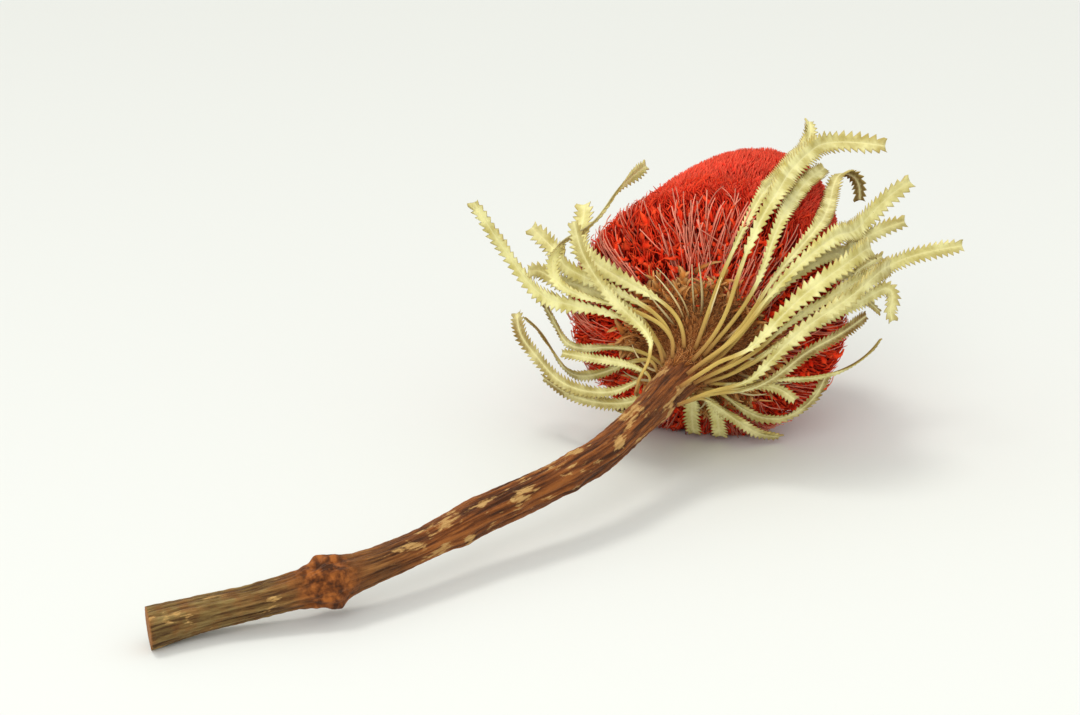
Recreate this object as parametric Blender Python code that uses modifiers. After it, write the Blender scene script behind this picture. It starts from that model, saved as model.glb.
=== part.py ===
# Dried banksia flower head on its cut woody stem, with its narrow saw-toothed leaves.
# Units are metres and +Z is up. The head lies on its side on the surface z = 0.
# The origin is on that surface, in the middle of the flat spot under the head's rim,
# and +X runs from the cut end of the stem towards the head.
# Run with: blender --background --python part.py, or from Blender's text editor.

import math
import random

import bmesh
import bpy
import numpy as np
from mathutils import Matrix, Vector

MM = 0.001
GAP = 0.3 * MM                      # clear space between pieces that meet

# The head's axis: how it lies, and where the collar is, at which stem and head meet
HEAD_HEADING = math.radians(27.0)   # turned from +X towards +Y
HEAD_PITCH = math.radians(16.0)     # tip end raised
COLLAR = Vector((-27.2, -13.8, 34.0)) * MM

# The head's outline over its bristles: (distance past the collar, radius)
HEAD_OUTLINE = ((0, 10), (4, 17), (7, 26), (10, 35), (15, 42), (20, 44.5), (27, 43.5),
                (36, 40.5), (46, 37.5), (57, 34.5), (68, 31), (79, 26), (88, 20),
                (95, 13), (99, 7), (101, 0))
LEAN = 14.0 * MM                    # how far the tip bends off the axis
LEAN_TURN = math.radians(60.0)      # towards which side, from the top round to the right
LEAN_START = 15.0 * MM
LEAN_SPAN = 80.0 * MM
LEAN_LIMIT = 1.2
LEAN_POWER = 1.5
BLEND_LENGTH = 12.0 * MM              # the stem's line meets the head's axis over this length
STEM_OUTLINE = ((-45, 5.2), (-12, 6.0), (-6, 6.6))   # the stem's share of the outline
OUTLINE_STEP = 0.1                  # mm between the outline's stored points

# The solid heart of the head, which the florets stand out of
HEART_OUTLINE = ((6.9, 0), (6.9, 16.5), (8.8, 22.6), (10.8, 29), (13.6, 35.5), (17.5, 40.8),
                 (22, 41.8), (27, 40.9), (32, 39.2), (37, 37.8), (42, 36.5), (47, 35.2),
                 (52, 34), (57, 32.7), (62, 31.2), (67, 29.5), (72, 27.5), (77, 25.1),
                 (82, 22.1), (87, 18.3), (91.5, 14.0), (95.5, 9.0), (98.5, 4.2), (99.6, 0))
FLORET_COLUMNS = 40                 # florets in each ring
ROW_TWIST = 0.5                     # each ring is turned by this share of a column
OPEN_END = 46.0 * MM                # open florets up to here, closed ones beyond
OPEN_HEIGHT = 3.0 * MM              # open florets stand this far out of the heart
CLOSED_HEIGHT = 1.5 * MM
LOW_HEIGHT = 1.6 * MM               # florets next to the base are short
LOW_END = 12.0 * MM
FLORETS_FROM = 9.0 * MM             # the heart's back face stays bare under the base
FLORET_SWAY = 0.25
HEIGHT_SPREAD = (0.75, 1.15)
FLORET_FORWARD = 0.35               # share of its height by which a floret leans to the tip
STYLE_COUNT = 260                   # long stiff styles, kept only where no leaf lies over them
STYLE_SECTORS = ((-42, 10), (-134, -118))   # degrees round the axis
STYLE_ZONE = (11.0 * MM, 40.5 * MM)  # styles stand between these distances past the collar
STYLE_TURN_END = 20.0 * MM          # up to here they lean back along the head's underside
STYLE_LENGTH = (9.0 * MM, 14.0 * MM)
STYLE_RISE = 0.38                   # rise from the surface, per unit of length along it
STYLE_ROOT = 1.3 * MM               # depth of a style's root in the heart
STYLE_RADIUS = 0.75 * MM

# The brown felted base between stem and florets, with short bracts
BASE_OUTLINE = ((-6.0, 0), (-6.0, 6.6), (-3.0, 8.0), (0.0, 10.3), (2.5, 13.6), (4.2, 16.6),
                (5.6, 19.8), (7.0, 22.8), (8.0, 23.2), (8.25, 22.0), (6.6, 16.2), (6.6, 0))
BRACT_COLUMNS = 22
BRACT_HEIGHT = 1.2 * MM
BRACT_ZONE = (-5.9 * MM, 7.2 * MM)

# The stem's centre line, from the cut end to the head: (x, y, z, radius)
STEM_ROUTE = ((-228.0, 12.0, 5.3, 5.2), (-213.0, 6.9, 5.9, 4.7), (-200.0, -1.2, 7.5, 4.5),
              (-190.0, -7.4, 9.2, 5.0), (-183.0, -10.5, 10.4, 6.2), (-176.0, -13.0, 11.0, 5.0),
              (-162.0, -16.2, 12.2, 4.4), (-133.0, -18.8, 15.0, 4.8), (-104.0, -23.4, 18.7, 5.0),
              (-86.0, -24.0, 21.2, 4.9), (-65.0, -21.6, 25.0, 4.8), (-50.0, -18.8, 28.4, 5.2),
              (-41.0, -17.6, 30.3, 5.6), (-33.0, -15.9, 32.2, 6.3), (-26.0, -13.6, 34.2, 6.6))
STEM_STATIONS = 46
STEM_SIDES_SETTING = 4              # bevel resolution: 12 sides
CUT_NORMAL = Vector((-0.83, 0.55, -0.05))   # the cut at the stem's free end
CUT_DEPTH = 1.8 * MM
BARK_RIDGE = 0.22 * MM
RIDGES_ROUND = 4
RIDGE_TWIST = 45.0                  # radians per metre of length
RIDGE_WAVE = 170.0
MARK_SPREAD = 0.6                   # a mark's half width round the stem, radians
SHARP_ANGLE = math.radians(50)
# Leaf scars and small stubs: (distance from the cut end, turn in degrees, height, half length)
STEM_MARKS = ((13, -60, 0.5, 4), (34, 70, 0.5, 4), (50, -120, 0.9, 3), (58, 100, 0.7, 4),
              (72, -20, 0.5, 5), (93, -110, 0.8, 3), (101, 60, 0.6, 5), (112, -45, 1.1, 3),
              (124, 150, 0.6, 4), (133, -95, 0.9, 3), (139, 20, 0.6, 4), (152, -60, 0.7, 4),
              (163, 120, 0.6, 4), (170, 0, 0.7, 3), (181, -110, 0.7, 4), (190, 50, 0.6, 4))

# Leaves. Roll turns the face about the leaf's own line, in degrees at equal steps from foot to
# tip. A route's points are (distance along the outline from the collar, distance clear of
# the outline, turn round the axis in degrees from the top over to the right). Distances along
# are negative on the stem, so the first point of each route is the leaf's foot on the stem.
LEAF_THICKNESS = 0.7 * MM
MIDRIB_THICKNESS = 1.2 * MM
STALK_WIDTH = 1.9 * MM
STALK_EDGE = 0.75                   # thickness at the stalk's edges, per midrib thickness
STALK_SHARE = 0.26                  # share of the length that is bare stalk
STALK_STATIONS = (0.0, 0.12, 0.3, 0.6, 0.85)
STALK_ROUND = 0.6                   # share of the stalk that is round before it flattens
RIB_TAPER = 0.3
BLADE_START = 0.5                   # share of its width that the blade starts with
BLADE_GROWTH = 1.7
BLADE_TAPER = 0.15
END_WIDTH = 0.8
END_FLARE = 0.35                    # how far the end's corners reach forward, per half width
TOOTH_PITCH = 6.4 * MM              # larger than life
NOTCH_SHARE = 0.5                   # half width in a notch, as a share of that at a tooth
TOOTH_LEAN = 0.62                   # a tooth's tip, as a share of its pitch
FOLD = 0.16                         # how far the halves rise from the midrib, per half width
FACE_REACH = 7.0 * MM               # leaves closer to the head than this lie along it
FACE_PULL = 0.12

LEAVES = {
    "leaf_01": dict(width=7.5, roll=(0, 0), route=(
        (-13, 1, -52), (-3, 5, -53), (4, 4.5, -57), (12, 4.5, -63), (24, 4.5, -70),
        (34, 6, -77), (41, 11, -81), (42, 20, -76), (42, 29, -70), (42, 38, -65))),
    "leaf_02": dict(width=7.0, roll=(0, 0, 0, 35), route=(
        (-8, 1, -34), (1, 3.8, -34), (8, 5, -38), (16, 5.4, -46), (27, 5.2, -56), (36, 5, -63),
        (44, 6, -69), (48, 13, -71), (48, 20, -69))),
    "leaf_03": dict(width=6.2, roll=(0, 0, 0, 35), route=(
        (-8, 1, -66), (1, 2.8, -62), (10, 2, -57), (18, 2, -59), (26, 2, -64), (34, 2, -69),
        (41, 6, -76), (42, 10, -76), (41, 14, -75))),
    "leaf_04": dict(width=7.5, roll=(0, 50), route=(
        (-8, 1, -10), (1, 2.8, -16), (8, 2, -27), (14, 2, -37), (22, 2, -46), (32, 2, -53),
        (40, 2.2, -57), (47, 5, -58), (53, 8, -58), (56, 11, -57))),
    "leaf_05": dict(width=5.6, roll=(0, 0, 0, 130, 140, 85), route=(
        (-13, 1, -22), (-3, 5, -27), (4, 6.5, -36), (10, 7, -45), (16, 7.4, -53), (24, 8, -61),
        (32, 8.8, -67), (37.5, 9.4, -67), (39, 10, -61), (37, 10.4, -50), (36, 10.5, -39),
        (40, 9.5, -30), (53, 9, -25))),
    "leaf_06": dict(width=5.4, roll=(0, 0), route=(
        (-29, 1, -66), (-25, 3.5, -45), (-20, 6, -28), (-13, 8.5, -28), (-5, 10, -38), (5, 11, -47),
        (16, 11.5, -49), (24, 12, -49), (30, 13, -47), (36, 16, -42))),
    "leaf_07": dict(width=4.8, roll=(0, 0), route=(
        (-13, 1.4, -82), (-3, 4.5, -88), (4, 4.5, -95), (13, 4.5, -105), (24, 5, -111),
        (34, 6, -112), (41, 9, -107), (43, 13, -101), (44, 17, -97))),
    "leaf_08": dict(width=5.2, roll=(0, 0, 30, 60), route=(
        (-27, 1, -80), (-16, 6, -98), (-2, 10.5, -111), (12, 11.5, -116), (24, 12, -114),
        (32, 12.5, -109), (37, 13.5, -101), (40, 16, -97), (42, 18.5, -94))),
    "leaf_09": dict(width=3.4, roll=(0, 50), route=(
        (-8, 1, -92), (1, 2.8, -92), (10, 2, -93), (20, 2, -96), (29, 2.2, -100), (37, 3, -101),
        (43, 7, -97), (45, 12, -88))),
    "leaf_10": dict(width=5.2, roll=(0, 0), route=(
        (-32, 1, -112), (-20, 6, -118), (-6, 11, -124), (8, 12, -128), (20, 12, -124),
        (30, 12, -117), (37, 13.5, -111))),
    "leaf_11": dict(width=3.8, roll=(0, 40), route=(
        (-19, 1, -100), (-8, 6.5, -100), (2, 8, -99), (12, 7.8, -98), (22, 7.5, -98),
        (32, 8, -99))),
    "leaf_12": dict(width=6.0, roll=(0, 0), route=(
        (-8, 1, 182), (1, 2.8, 184), (9, 2.2, 185), (17, 2.2, 185), (26, 2.2, 184))),
    "leaf_13": dict(width=5.6, roll=(0, 0), route=(
        (-13, 1, 164), (-3, 4.5, 162), (5, 4.5, 162), (13, 4, 165), (20, 3.5, 168),
        (26, 2.6, 170))),
    "leaf_14": dict(width=5.4, roll=(0, 0), route=(
        (-8, 1, 150), (1, 2.8, 150), (9, 2.2, 149), (16, 2.2, 147), (23, 2.3, 143),
        (28, 2.6, 136), (30, 2.8, 126), (31, 2.8, 115), (31, 2.8, 105))),
    "leaf_15": dict(width=5.4, roll=(0, 0), route=(
        (-19, 1, 148), (-8, 5, 152), (2, 7, 155), (10, 6.8, 155), (19, 6, 152), (27, 5, 149),
        (33, 4.6, 145))),
    "leaf_16": dict(width=5.5, roll=(0, 0), route=(
        (-8, 1, 206), (1, 2.8, 208), (10, 2.2, 212), (20, 2.2, 215), (30, 2.2, 217),
        (40, 2.4, 218), (52, 3, 218), (62, 3.5, 216))),
    "leaf_17": dict(width=5.6, roll=(0, 0), route=(
        (-8, 1, 15), (1, 2.8, 15), (10, 2, 16), (25, 2, 18), (44, 2.2, 21), (66, 2.2, 24),
        (88, 3, 27), (107, 5, 31), (113, 8, 29), (116, 11, 24))),
    "leaf_18": dict(width=8.4, roll=(0, 30), route=(
        (-13, 1, 30), (-3, 4.5, 33), (4, 4.5, 34), (11, 5, 30), (22, 5.2, 25), (36, 5.2, 24),
        (46, 5.2, 26), (68, 5.5, 28), (90, 6.5, 33), (106, 9, 42), (106, 14, 52), (104, 21, 62))),
    "leaf_19": dict(width=5.8, roll=(0, 0), route=(
        (-9, 1, 40), (-3, 3.2, 41), (2, 2.8, 42), (8, 2.2, 43), (16, 2.2, 40), (25, 2.2, 36),
        (34, 2.2, 32), (44, 2.2, 32), (56, 2.2, 34), (76, 2.5, 38), (100, 3.5, 48))),
    "leaf_20": dict(width=5.8, roll=(0, -10, -15, -30, -50, -110), route=(
        (-13, 1, 55), (-3, 4.5, 55), (6, 4.5, 52), (16, 4.5, 46), (26, 4.2, 42), (40, 3.6, 44),
        (63, 3.2, 51), (86, 3.2, 55), (97, 5, 55), (101, 8, 57), (101, 9.5, 65), (97, 8, 75))),
    "leaf_21": dict(width=8.0, roll=(0, 0), route=(
        (-19, 1, 44), (-8, 6.5, 50), (1, 8, 53), (9, 8, 50), (20, 7.5, 45), (31, 7.5, 45),
        (42, 7, 51), (60, 7, 62), (79, 7, 73), (90, 11, 77), (93, 17, 75), (93, 24, 73))),
    "leaf_22": dict(width=6.6, roll=(0, 0), route=(
        (-9, 1, 66), (-3, 3.2, 65), (2, 2.8, 63), (9, 2.2, 57), (17, 2.2, 51), (25, 2.2, 49),
        (34, 2.2, 51), (44, 2.4, 57), (58, 3, 69), (74, 3.5, 78), (85, 8, 84), (89, 14, 85),
        (89, 20, 84))),
    "leaf_23": dict(width=5.2, roll=(0, 0), route=(
        (-9, 1, 90), (-3, 3.2, 89), (2, 2.8, 85), (9, 2.2, 75), (20, 3, 62), (31, 4.4, 58),
        (40, 4.4, 63), (52, 4, 76), (68, 4, 88), (78, 7, 93), (82, 13, 93))),
    "leaf_24": dict(width=6.2, roll=(0, 0), route=(
        (-19, 1, 76), (-8, 6.5, 79), (1, 8, 79), (9, 8, 73), (20, 8, 64), (34, 8, 64),
        (46, 9, 72), (58, 12, 80), (67, 16, 84), (71, 22, 85), (72, 29, 85), (72, 37, 85))),
    "leaf_25": dict(width=5.6, roll=(0, 0), route=(
        (-13, 1, 104), (-3, 4.5, 102), (5, 4.5, 94), (14, 5, 80), (27, 5.2, 73), (38, 5.2, 75),
        (45, 7, 79.5), (49, 11.5, 81), (50, 14.5, 82), (48.5, 14, 85), (47.5, 12.5, 87.5),
        (46.5, 13.5, 91))),
    "leaf_26": dict(width=3.4, roll=(0, 0), route=(
        (-9, 1, 113), (-3, 3.2, 110), (2, 2.8, 104), (10, 2.2, 91), (20, 2.2, 79),
        (30, 2.2, 75), (38, 2.8, 76), (43, 4.5, 79), (47, 7.5, 84), (47, 10, 88))),
    "leaf_27": dict(width=7.6, roll=(0, 0), route=(
        (-25, 1, 56), (-16, 6, 60), (-8, 10, 64), (1, 11.5, 67), (8, 11.5, 64), (16, 11.5, 58),
        (27, 11.5, 54), (37, 11, 57), (49, 10.5, 65), (61, 10, 73))),
    "leaf_28": dict(width=7.4, roll=(0, 0), route=(
        (-29, 1, 92), (-18, 6, 96), (-8, 11, 98), (1, 13, 93), (7, 14, 85), (14, 14.5, 74),
        (24, 14.5, 66), (34, 14.5, 65), (42, 14.5, 69), (49, 15, 74))),
    "leaf_29": dict(width=4.6, roll=(0, -15), route=(
        (-19, 1, 126), (-8, 6.5, 124), (1, 8, 119), (8, 8, 110), (15, 7.5, 98), (23, 7, 86),
        (32, 6.5, 82.5), (42, 6, 85))),
    "leaf_30": dict(width=2.8, roll=(0, 30), route=(
        (-13, 1, 138), (-3, 4.5, 136), (5, 4.6, 126), (12, 4.6, 112), (20, 5.2, 105),
        (28, 5.2, 103), (34, 7, 99), (38, 10, 94), (40, 12, 90))),
    "leaf_31": dict(width=4.4, roll=(0, 0), route=(
        (-8, 1, 131), (1, 2.8, 131), (7, 2.2, 127), (13, 2.2, 120), (19, 2.5, 118),
        (25, 4, 120))),
}

# Colours: (red, green, blue), roughness
COLOURS = {
    "bark": ((0.16, 0.065, 0.035), 0.85),
    "felt": ((0.24, 0.11, 0.05), 0.95),
    "floret": ((0.52, 0.015, 0.02), 0.9),
    "leaf": ((0.58, 0.53, 0.27), 0.75),
}

RAY = np.array((math.cos(HEAD_HEADING) * math.cos(HEAD_PITCH),
                math.sin(HEAD_HEADING) * math.cos(HEAD_PITCH), math.sin(HEAD_PITCH)))
UPWARD = np.array((-math.cos(HEAD_HEADING) * math.sin(HEAD_PITCH),
                   -math.sin(HEAD_HEADING) * math.sin(HEAD_PITCH), math.cos(HEAD_PITCH)))
SIDEWARD = np.cross(RAY, UPWARD)


def smooth_path(points, count):
    """Points at equal spacing on a smooth curve through the given ones."""
    points = np.asarray(points, float)
    chord = np.concatenate(([0.0], np.cumsum(np.linalg.norm(np.diff(points[:, :3], axis=0), axis=1))))
    slope = np.gradient(points, chord, axis=0)
    t = np.linspace(0.0, chord[-1], 40 * len(points))
    k = np.clip(np.searchsorted(chord, t, side="right") - 1, 0, len(chord) - 2)
    span = (chord[k + 1] - chord[k])[:, None]
    u = (t - chord[k])[:, None] / span
    curve = ((2 * u**3 - 3 * u**2 + 1) * points[k] + (u**3 - 2 * u**2 + u) * span * slope[k]
             + (3 * u**2 - 2 * u**3) * points[k + 1] + (u**3 - u**2) * span * slope[k + 1])
    length = np.concatenate(([0.0], np.cumsum(np.linalg.norm(np.diff(curve[:, :3], axis=0), axis=1))))
    at = np.linspace(0.0, length[-1], count)
    return np.stack([np.interp(at, length, curve[:, i]) for i in range(points.shape[1])], axis=1)


def lean_at(s):
    """Sideways shift of the head's axis, at distance s past the collar."""
    share = np.clip((np.asarray(s) - LEAN_START) / LEAN_SPAN, 0.0, LEAN_LIMIT)
    shift = LEAN * share**LEAN_POWER
    side = math.cos(LEAN_TURN) * UPWARD + math.sin(LEAN_TURN) * SIDEWARD
    return shift[..., None] * side


STEM_LINE = smooth_path(np.array(STEM_ROUTE) * MM, STEM_STATIONS)
STEM_LENGTHS = np.concatenate(
    ([0.0], np.cumsum(np.linalg.norm(np.diff(STEM_LINE[:, :3], axis=0), axis=1))))


def spine_point(s):
    """Centre of the stem, of the base, or of the leaning head, in world coordinates."""
    on_axis = np.array(COLLAR) + s * RAY + lean_at(s)
    axial = (STEM_LINE[:, :3] - np.array(COLLAR)) @ RAY
    on_stem = np.array([np.interp(s, axial, STEM_LINE[:, i]) for i in range(3)])
    share = float(np.clip(s / BLEND_LENGTH + 1.0, 0.0, 1.0))
    return share * on_axis + (1.0 - share) * on_stem


def outline_tables():
    """The outline with the stem before it: distance along it, axial place, radius, normal."""
    known = STEM_OUTLINE + HEAD_OUTLINE
    s = np.arange(known[0][0], known[-1][0] + OUTLINE_STEP, OUTLINE_STEP)
    radius = np.interp(s, [p[0] for p in known], [p[1] for p in known])
    half = 15
    window = np.ones(2 * half + 1) / (2 * half + 1)
    soft = np.convolve(np.pad(radius, half, mode="edge"), window, mode="valid")
    radius = np.where(s < HEAD_OUTLINE[-3][0], soft, radius)
    along = np.concatenate(([0.0], np.cumsum(np.hypot(np.diff(s), np.diff(radius)))))
    along -= np.interp(0.0, s, along)
    return along, s, radius, -np.gradient(radius, along), np.gradient(s, along)


OUTLINE = outline_tables()


def place(along, lift, turn):
    """World point at a distance along the outline, clear of it by lift, at a turn,
    then the outline's normal there, and the lift."""
    table, s, radius, normal_s, normal_r = OUTLINE
    axial = np.interp(along, table, s) + lift * np.interp(along, table, normal_s)
    out = np.interp(along, table, radius) + lift * np.interp(along, table, normal_r)
    angle = math.radians(turn)
    side = math.cos(angle) * UPWARD + math.sin(angle) * SIDEWARD
    point = spine_point(axial * MM) + out * MM * side
    normal = np.interp(along, table, normal_s) * RAY + np.interp(along, table, normal_r) * side
    return np.concatenate((point, normal, (lift * MM,)))


def make_material(name):
    colour, roughness = COLOURS[name]
    material = bpy.data.materials.new(name)
    material.use_nodes = True
    shader = material.node_tree.nodes["Principled BSDF"]
    shader.inputs["Base Color"].default_value = (*colour, 1.0)
    shader.inputs["Roughness"].default_value = roughness
    shader.inputs["Metallic"].default_value = 0.0
    return material


def new_object(name, mesh, material, collection):
    mesh.materials.append(material)
    obj = bpy.data.objects.new(name, mesh)
    collection.objects.link(obj)
    return obj


def turned_mesh(outline, steps, collection):
    """A turned solid from an outline of (axial place, radius) in mm, axis along Z, at the origin."""
    profile = bpy.data.meshes.new("profile")
    points = [(r * MM, 0.0, s * MM) for s, r in reversed(outline)]
    profile.from_pydata(points, [(i, i + 1) for i in range(len(points) - 1)], [])
    obj = bpy.data.objects.new("profile", profile)
    collection.objects.link(obj)
    screw = obj.modifiers.new("Screw", "SCREW")
    screw.steps = screw.render_steps = steps
    screw.use_merge_vertices = True
    screw.merge_threshold = 0.00005
    bpy.context.view_layer.update()
    mesh = bpy.data.meshes.new_from_object(obj.evaluated_get(bpy.context.evaluated_depsgraph_get()))
    bpy.data.objects.remove(obj)
    return mesh


def to_head_frame(bm):
    """Moves a mesh built along Z onto the leaning axis of the head."""
    for vertex in bm.verts:
        x, y, z = vertex.co
        vertex.co = Vector(np.array(COLLAR) + z * RAY + x * UPWARD + y * SIDEWARD + lean_at(z))


def raise_points(bm, faces, height_of, draw):
    """Splits each face to its middle and raises the middle into a leaning point."""
    for face in faces:
        middle, normal = face.calc_center_median(), face.normal.copy()
        tip = bmesh.ops.poke(bm, faces=[face])["verts"][0]
        height = height_of(middle.z) * draw.uniform(*HEIGHT_SPREAD)
        sway = Vector((-middle.y, middle.x, 0.0)).normalized()
        sway *= draw.uniform(-FLORET_SWAY, FLORET_SWAY)
        forward = Vector((0.0, 0.0, FLORET_FORWARD))
        tip.co = middle + (normal + forward + sway).normalized() * height


def cut_off(bm, point, normal):
    """Cuts away what lies past a plane and closes the cut with one flat face."""
    cut = bmesh.ops.bisect_plane(bm, geom=bm.verts[:] + bm.edges[:] + bm.faces[:], dist=0.000001,
                                 plane_co=point, plane_no=normal, clear_outer=True)
    rim = [item for item in cut["geom_cut"] if isinstance(item, bmesh.types.BMEdge)]
    bmesh.ops.contextual_create(bm, geom=rim)


def make_stem(collection, material):
    """The woody stem: a tube along its route, cut off at a slant, with knob, ridges and scars."""
    curve = bpy.data.curves.new("stem_route", "CURVE")
    curve.dimensions = "3D"
    curve.bevel_depth = 1.0
    curve.bevel_resolution = STEM_SIDES_SETTING
    curve.use_fill_caps = True
    spline = curve.splines.new("POLY")
    spline.points.add(STEM_STATIONS - 1)
    for point, (x, y, z, radius) in zip(spline.points, STEM_LINE):
        point.co = (x, y, z, 1.0)
        point.radius = radius
    route = bpy.data.objects.new("stem_route", curve)
    collection.objects.link(route)
    bpy.context.view_layer.update()
    mesh = bpy.data.meshes.new_from_object(route.evaluated_get(bpy.context.evaluated_depsgraph_get()))
    bpy.data.objects.remove(route)
    bm = bmesh.new()
    bm.from_mesh(mesh)
    bmesh.ops.remove_doubles(bm, verts=bm.verts, dist=0.00001)
    line = STEM_LINE[:, :3]
    for vertex in bm.verts:
        spot = np.array(vertex.co)
        nearest = int(np.argmin(np.linalg.norm(line - spot, axis=1)))
        if nearest == STEM_STATIONS - 1:
            continue
        outward = spot - line[nearest]
        turn = math.atan2(float(outward @ SIDEWARD), float(outward @ UPWARD))
        distance = STEM_LENGTHS[nearest]
        rise = BARK_RIDGE * math.sin(RIDGES_ROUND * turn + RIDGE_TWIST * distance)
        rise *= math.sin(RIDGE_WAVE * distance)
        for at, mark_turn, height, half in STEM_MARKS:
            off_turn = math.remainder(turn - math.radians(mark_turn), math.tau) / MARK_SPREAD
            off_along = (distance / MM - at) / half
            rise += height * MM * math.exp(-off_turn**2 - off_along**2)
        vertex.co = Vector(spot + outward / np.linalg.norm(outward) * rise)
    cut_off(bm, Vector(line[0]) - CUT_NORMAL.normalized() * CUT_DEPTH, CUT_NORMAL)
    cut_off(bm, COLLAR + Vector(RAY) * (BASE_OUTLINE[0][0] * MM - GAP), Vector(RAY))
    bmesh.ops.recalc_face_normals(bm, faces=bm.faces)
    bm.to_mesh(mesh)
    bm.free()
    mesh.shade_smooth()
    mesh.set_sharp_from_angle(angle=SHARP_ANGLE)
    return new_object("stem", mesh, material, collection)


def make_base(collection, material):
    """The brown felted base, whose flared side is covered with short pointed bracts."""
    mesh = turned_mesh(BASE_OUTLINE, BRACT_COLUMNS, collection)
    draw = random.Random(4)
    bm = bmesh.new()
    bm.from_mesh(mesh)
    bmesh.ops.recalc_face_normals(bm, faces=bm.faces)
    side = [f for f in bm.faces
            if BRACT_ZONE[0] < f.calc_center_median().z < BRACT_ZONE[1] and len(f.verts) == 4]
    raise_points(bm, side, lambda z: BRACT_HEIGHT, draw)
    to_head_frame(bm)
    bm.to_mesh(mesh)
    bm.free()
    return new_object("cone_base", mesh, material, collection)


def make_style(start, direction, length, bm):
    """One stiff three-sided style, pointed at its end."""
    turn = Vector((0.0, 0.0, 1.0)).rotation_difference(direction).to_matrix().to_4x4()
    middle = Matrix.Translation(start + direction * length / 2)
    bmesh.ops.create_cone(bm, cap_ends=True, segments=3, radius1=STYLE_RADIUS, radius2=0.0,
                          depth=length, matrix=middle @ turn)


def heart_point(z, outward):
    """Point on the heart's surface at height z on its own axis, in a direction out from it."""
    heights, radii = zip(*HEART_OUTLINE[1:])
    return outward * float(np.interp(z / MM, heights, radii)) * MM + Vector((0.0, 0.0, z))


def make_head(collection, cutters, material):
    """The red head: a heart whose whole side is florets in spiral rows, with long styles."""
    mesh = turned_mesh(HEART_OUTLINE, FLORET_COLUMNS, collection)
    draw = random.Random(11)
    bm = bmesh.new()
    bm.from_mesh(mesh)
    bmesh.ops.recalc_face_normals(bm, faces=bm.faces)
    rings = {round(p[0] * MM, 5): i for i, p in enumerate(HEART_OUTLINE)}
    for vertex in bm.verts:
        ring = rings[round(vertex.co.z, 5)]
        if ring >= 2:
            angle = math.tau / FLORET_COLUMNS * ROW_TWIST * (ring - 1)
            vertex.co = Matrix.Rotation(angle, 3, "Z") @ vertex.co
    side = [f for f in bm.faces if f.calc_center_median().z > FLORETS_FROM]

    def height_of(z):
        if z > OPEN_END:
            return CLOSED_HEIGHT
        return OPEN_HEIGHT if z > LOW_END else LOW_HEIGHT

    raise_points(bm, side, height_of, draw)
    to_head_frame(bm)
    bm.to_mesh(mesh)
    bm.free()
    head = new_object("flower_head", mesh, material, collection)

    styles = bpy.data.collections.new("styles")
    bpy.context.scene.collection.children.link(styles)
    golden = math.pi * (3.0 - math.sqrt(5.0))
    for i in range(STYLE_COUNT):
        z = STYLE_ZONE[0] + (STYLE_ZONE[1] - STYLE_ZONE[0]) * (i + 0.5) / STYLE_COUNT
        turn = math.remainder(i * golden, math.tau)
        length = draw.uniform(*STYLE_LENGTH)
        if not any(low < math.degrees(turn) < high for low, high in STYLE_SECTORS):
            continue
        outward = Vector((math.cos(turn), math.sin(turn), 0.0))
        along = (heart_point(z + MM, outward) - heart_point(z - MM, outward)).normalized()
        normal = (outward - outward.dot(along) * along).normalized()
        if normal.z > 0 and z < STYLE_TURN_END:
            normal = -normal
        direction = (along + normal * STYLE_RISE).normalized()
        foot = heart_point(z, outward) - direction * STYLE_ROOT / STYLE_RISE
        style_bm = bmesh.new()
        make_style(foot, direction, length, style_bm)
        to_head_frame(style_bm)
        style_mesh = bpy.data.meshes.new("style")
        style_bm.to_mesh(style_mesh)
        style_bm.free()
        styles.objects.link(bpy.data.objects.new("style", style_mesh))
    join = head.modifiers.new("Styles", "BOOLEAN")
    join.operation = "UNION"
    join.operand_type = "COLLECTION"
    join.collection = styles
    join.solver = "MANIFOLD"
    below = bpy.data.meshes.new("below")
    box = bmesh.new()
    bmesh.ops.create_cube(box, size=0.2, matrix=Matrix.Translation((0.0, 0.0, -0.1)))
    box.to_mesh(below)
    box.free()
    cutter = bpy.data.objects.new("surface_cutter", below)
    cutter.display_type = "WIRE"
    cutter.hide_render = True
    cutters.objects.link(cutter)
    flat = head.modifiers.new("Flat spot", "BOOLEAN")
    flat.operation = "DIFFERENCE"
    flat.object = cutter
    flat.solver = "MANIFOLD"
    bpy.context.view_layer.update()
    joined = bpy.data.meshes.new_from_object(head.evaluated_get(bpy.context.evaluated_depsgraph_get()))
    head.modifiers.clear()
    head.data = joined
    for obj in list(styles.objects):
        bpy.data.objects.remove(obj)
    bpy.data.collections.remove(styles)
    return head


def leaf_stations(length, width):
    """Places along a leaf, with the half widths of its left and right edges."""
    places = [STALK_SHARE * v for v in STALK_STATIONS]
    left = [STALK_WIDTH / 2] * len(places)
    right = list(left)
    pitches = max(4, round(length * (1 - STALK_SHARE) / TOOTH_PITCH))
    for tooth in range(pitches):
        for part_of_pitch, is_tip in ((0.0, False), (TOOTH_LEAN, True)):
            share = (tooth + part_of_pitch) / pitches
            grown = min(1.0, BLADE_START + BLADE_GROWTH * share)
            body = width / 2 * grown * (1.0 - BLADE_TAPER * share**3)
            reach = body if is_tip else max(NOTCH_SHARE * body, STALK_WIDTH / 2)
            places.append(STALK_SHARE + (1 - STALK_SHARE) * share)
            left.append(reach)
            right.append(reach)
    places.append(1.0)
    left.append(width / 2 * END_WIDTH)
    right.append(width / 2 * END_WIDTH)
    return np.array(places), np.array(left), np.array(right)


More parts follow.
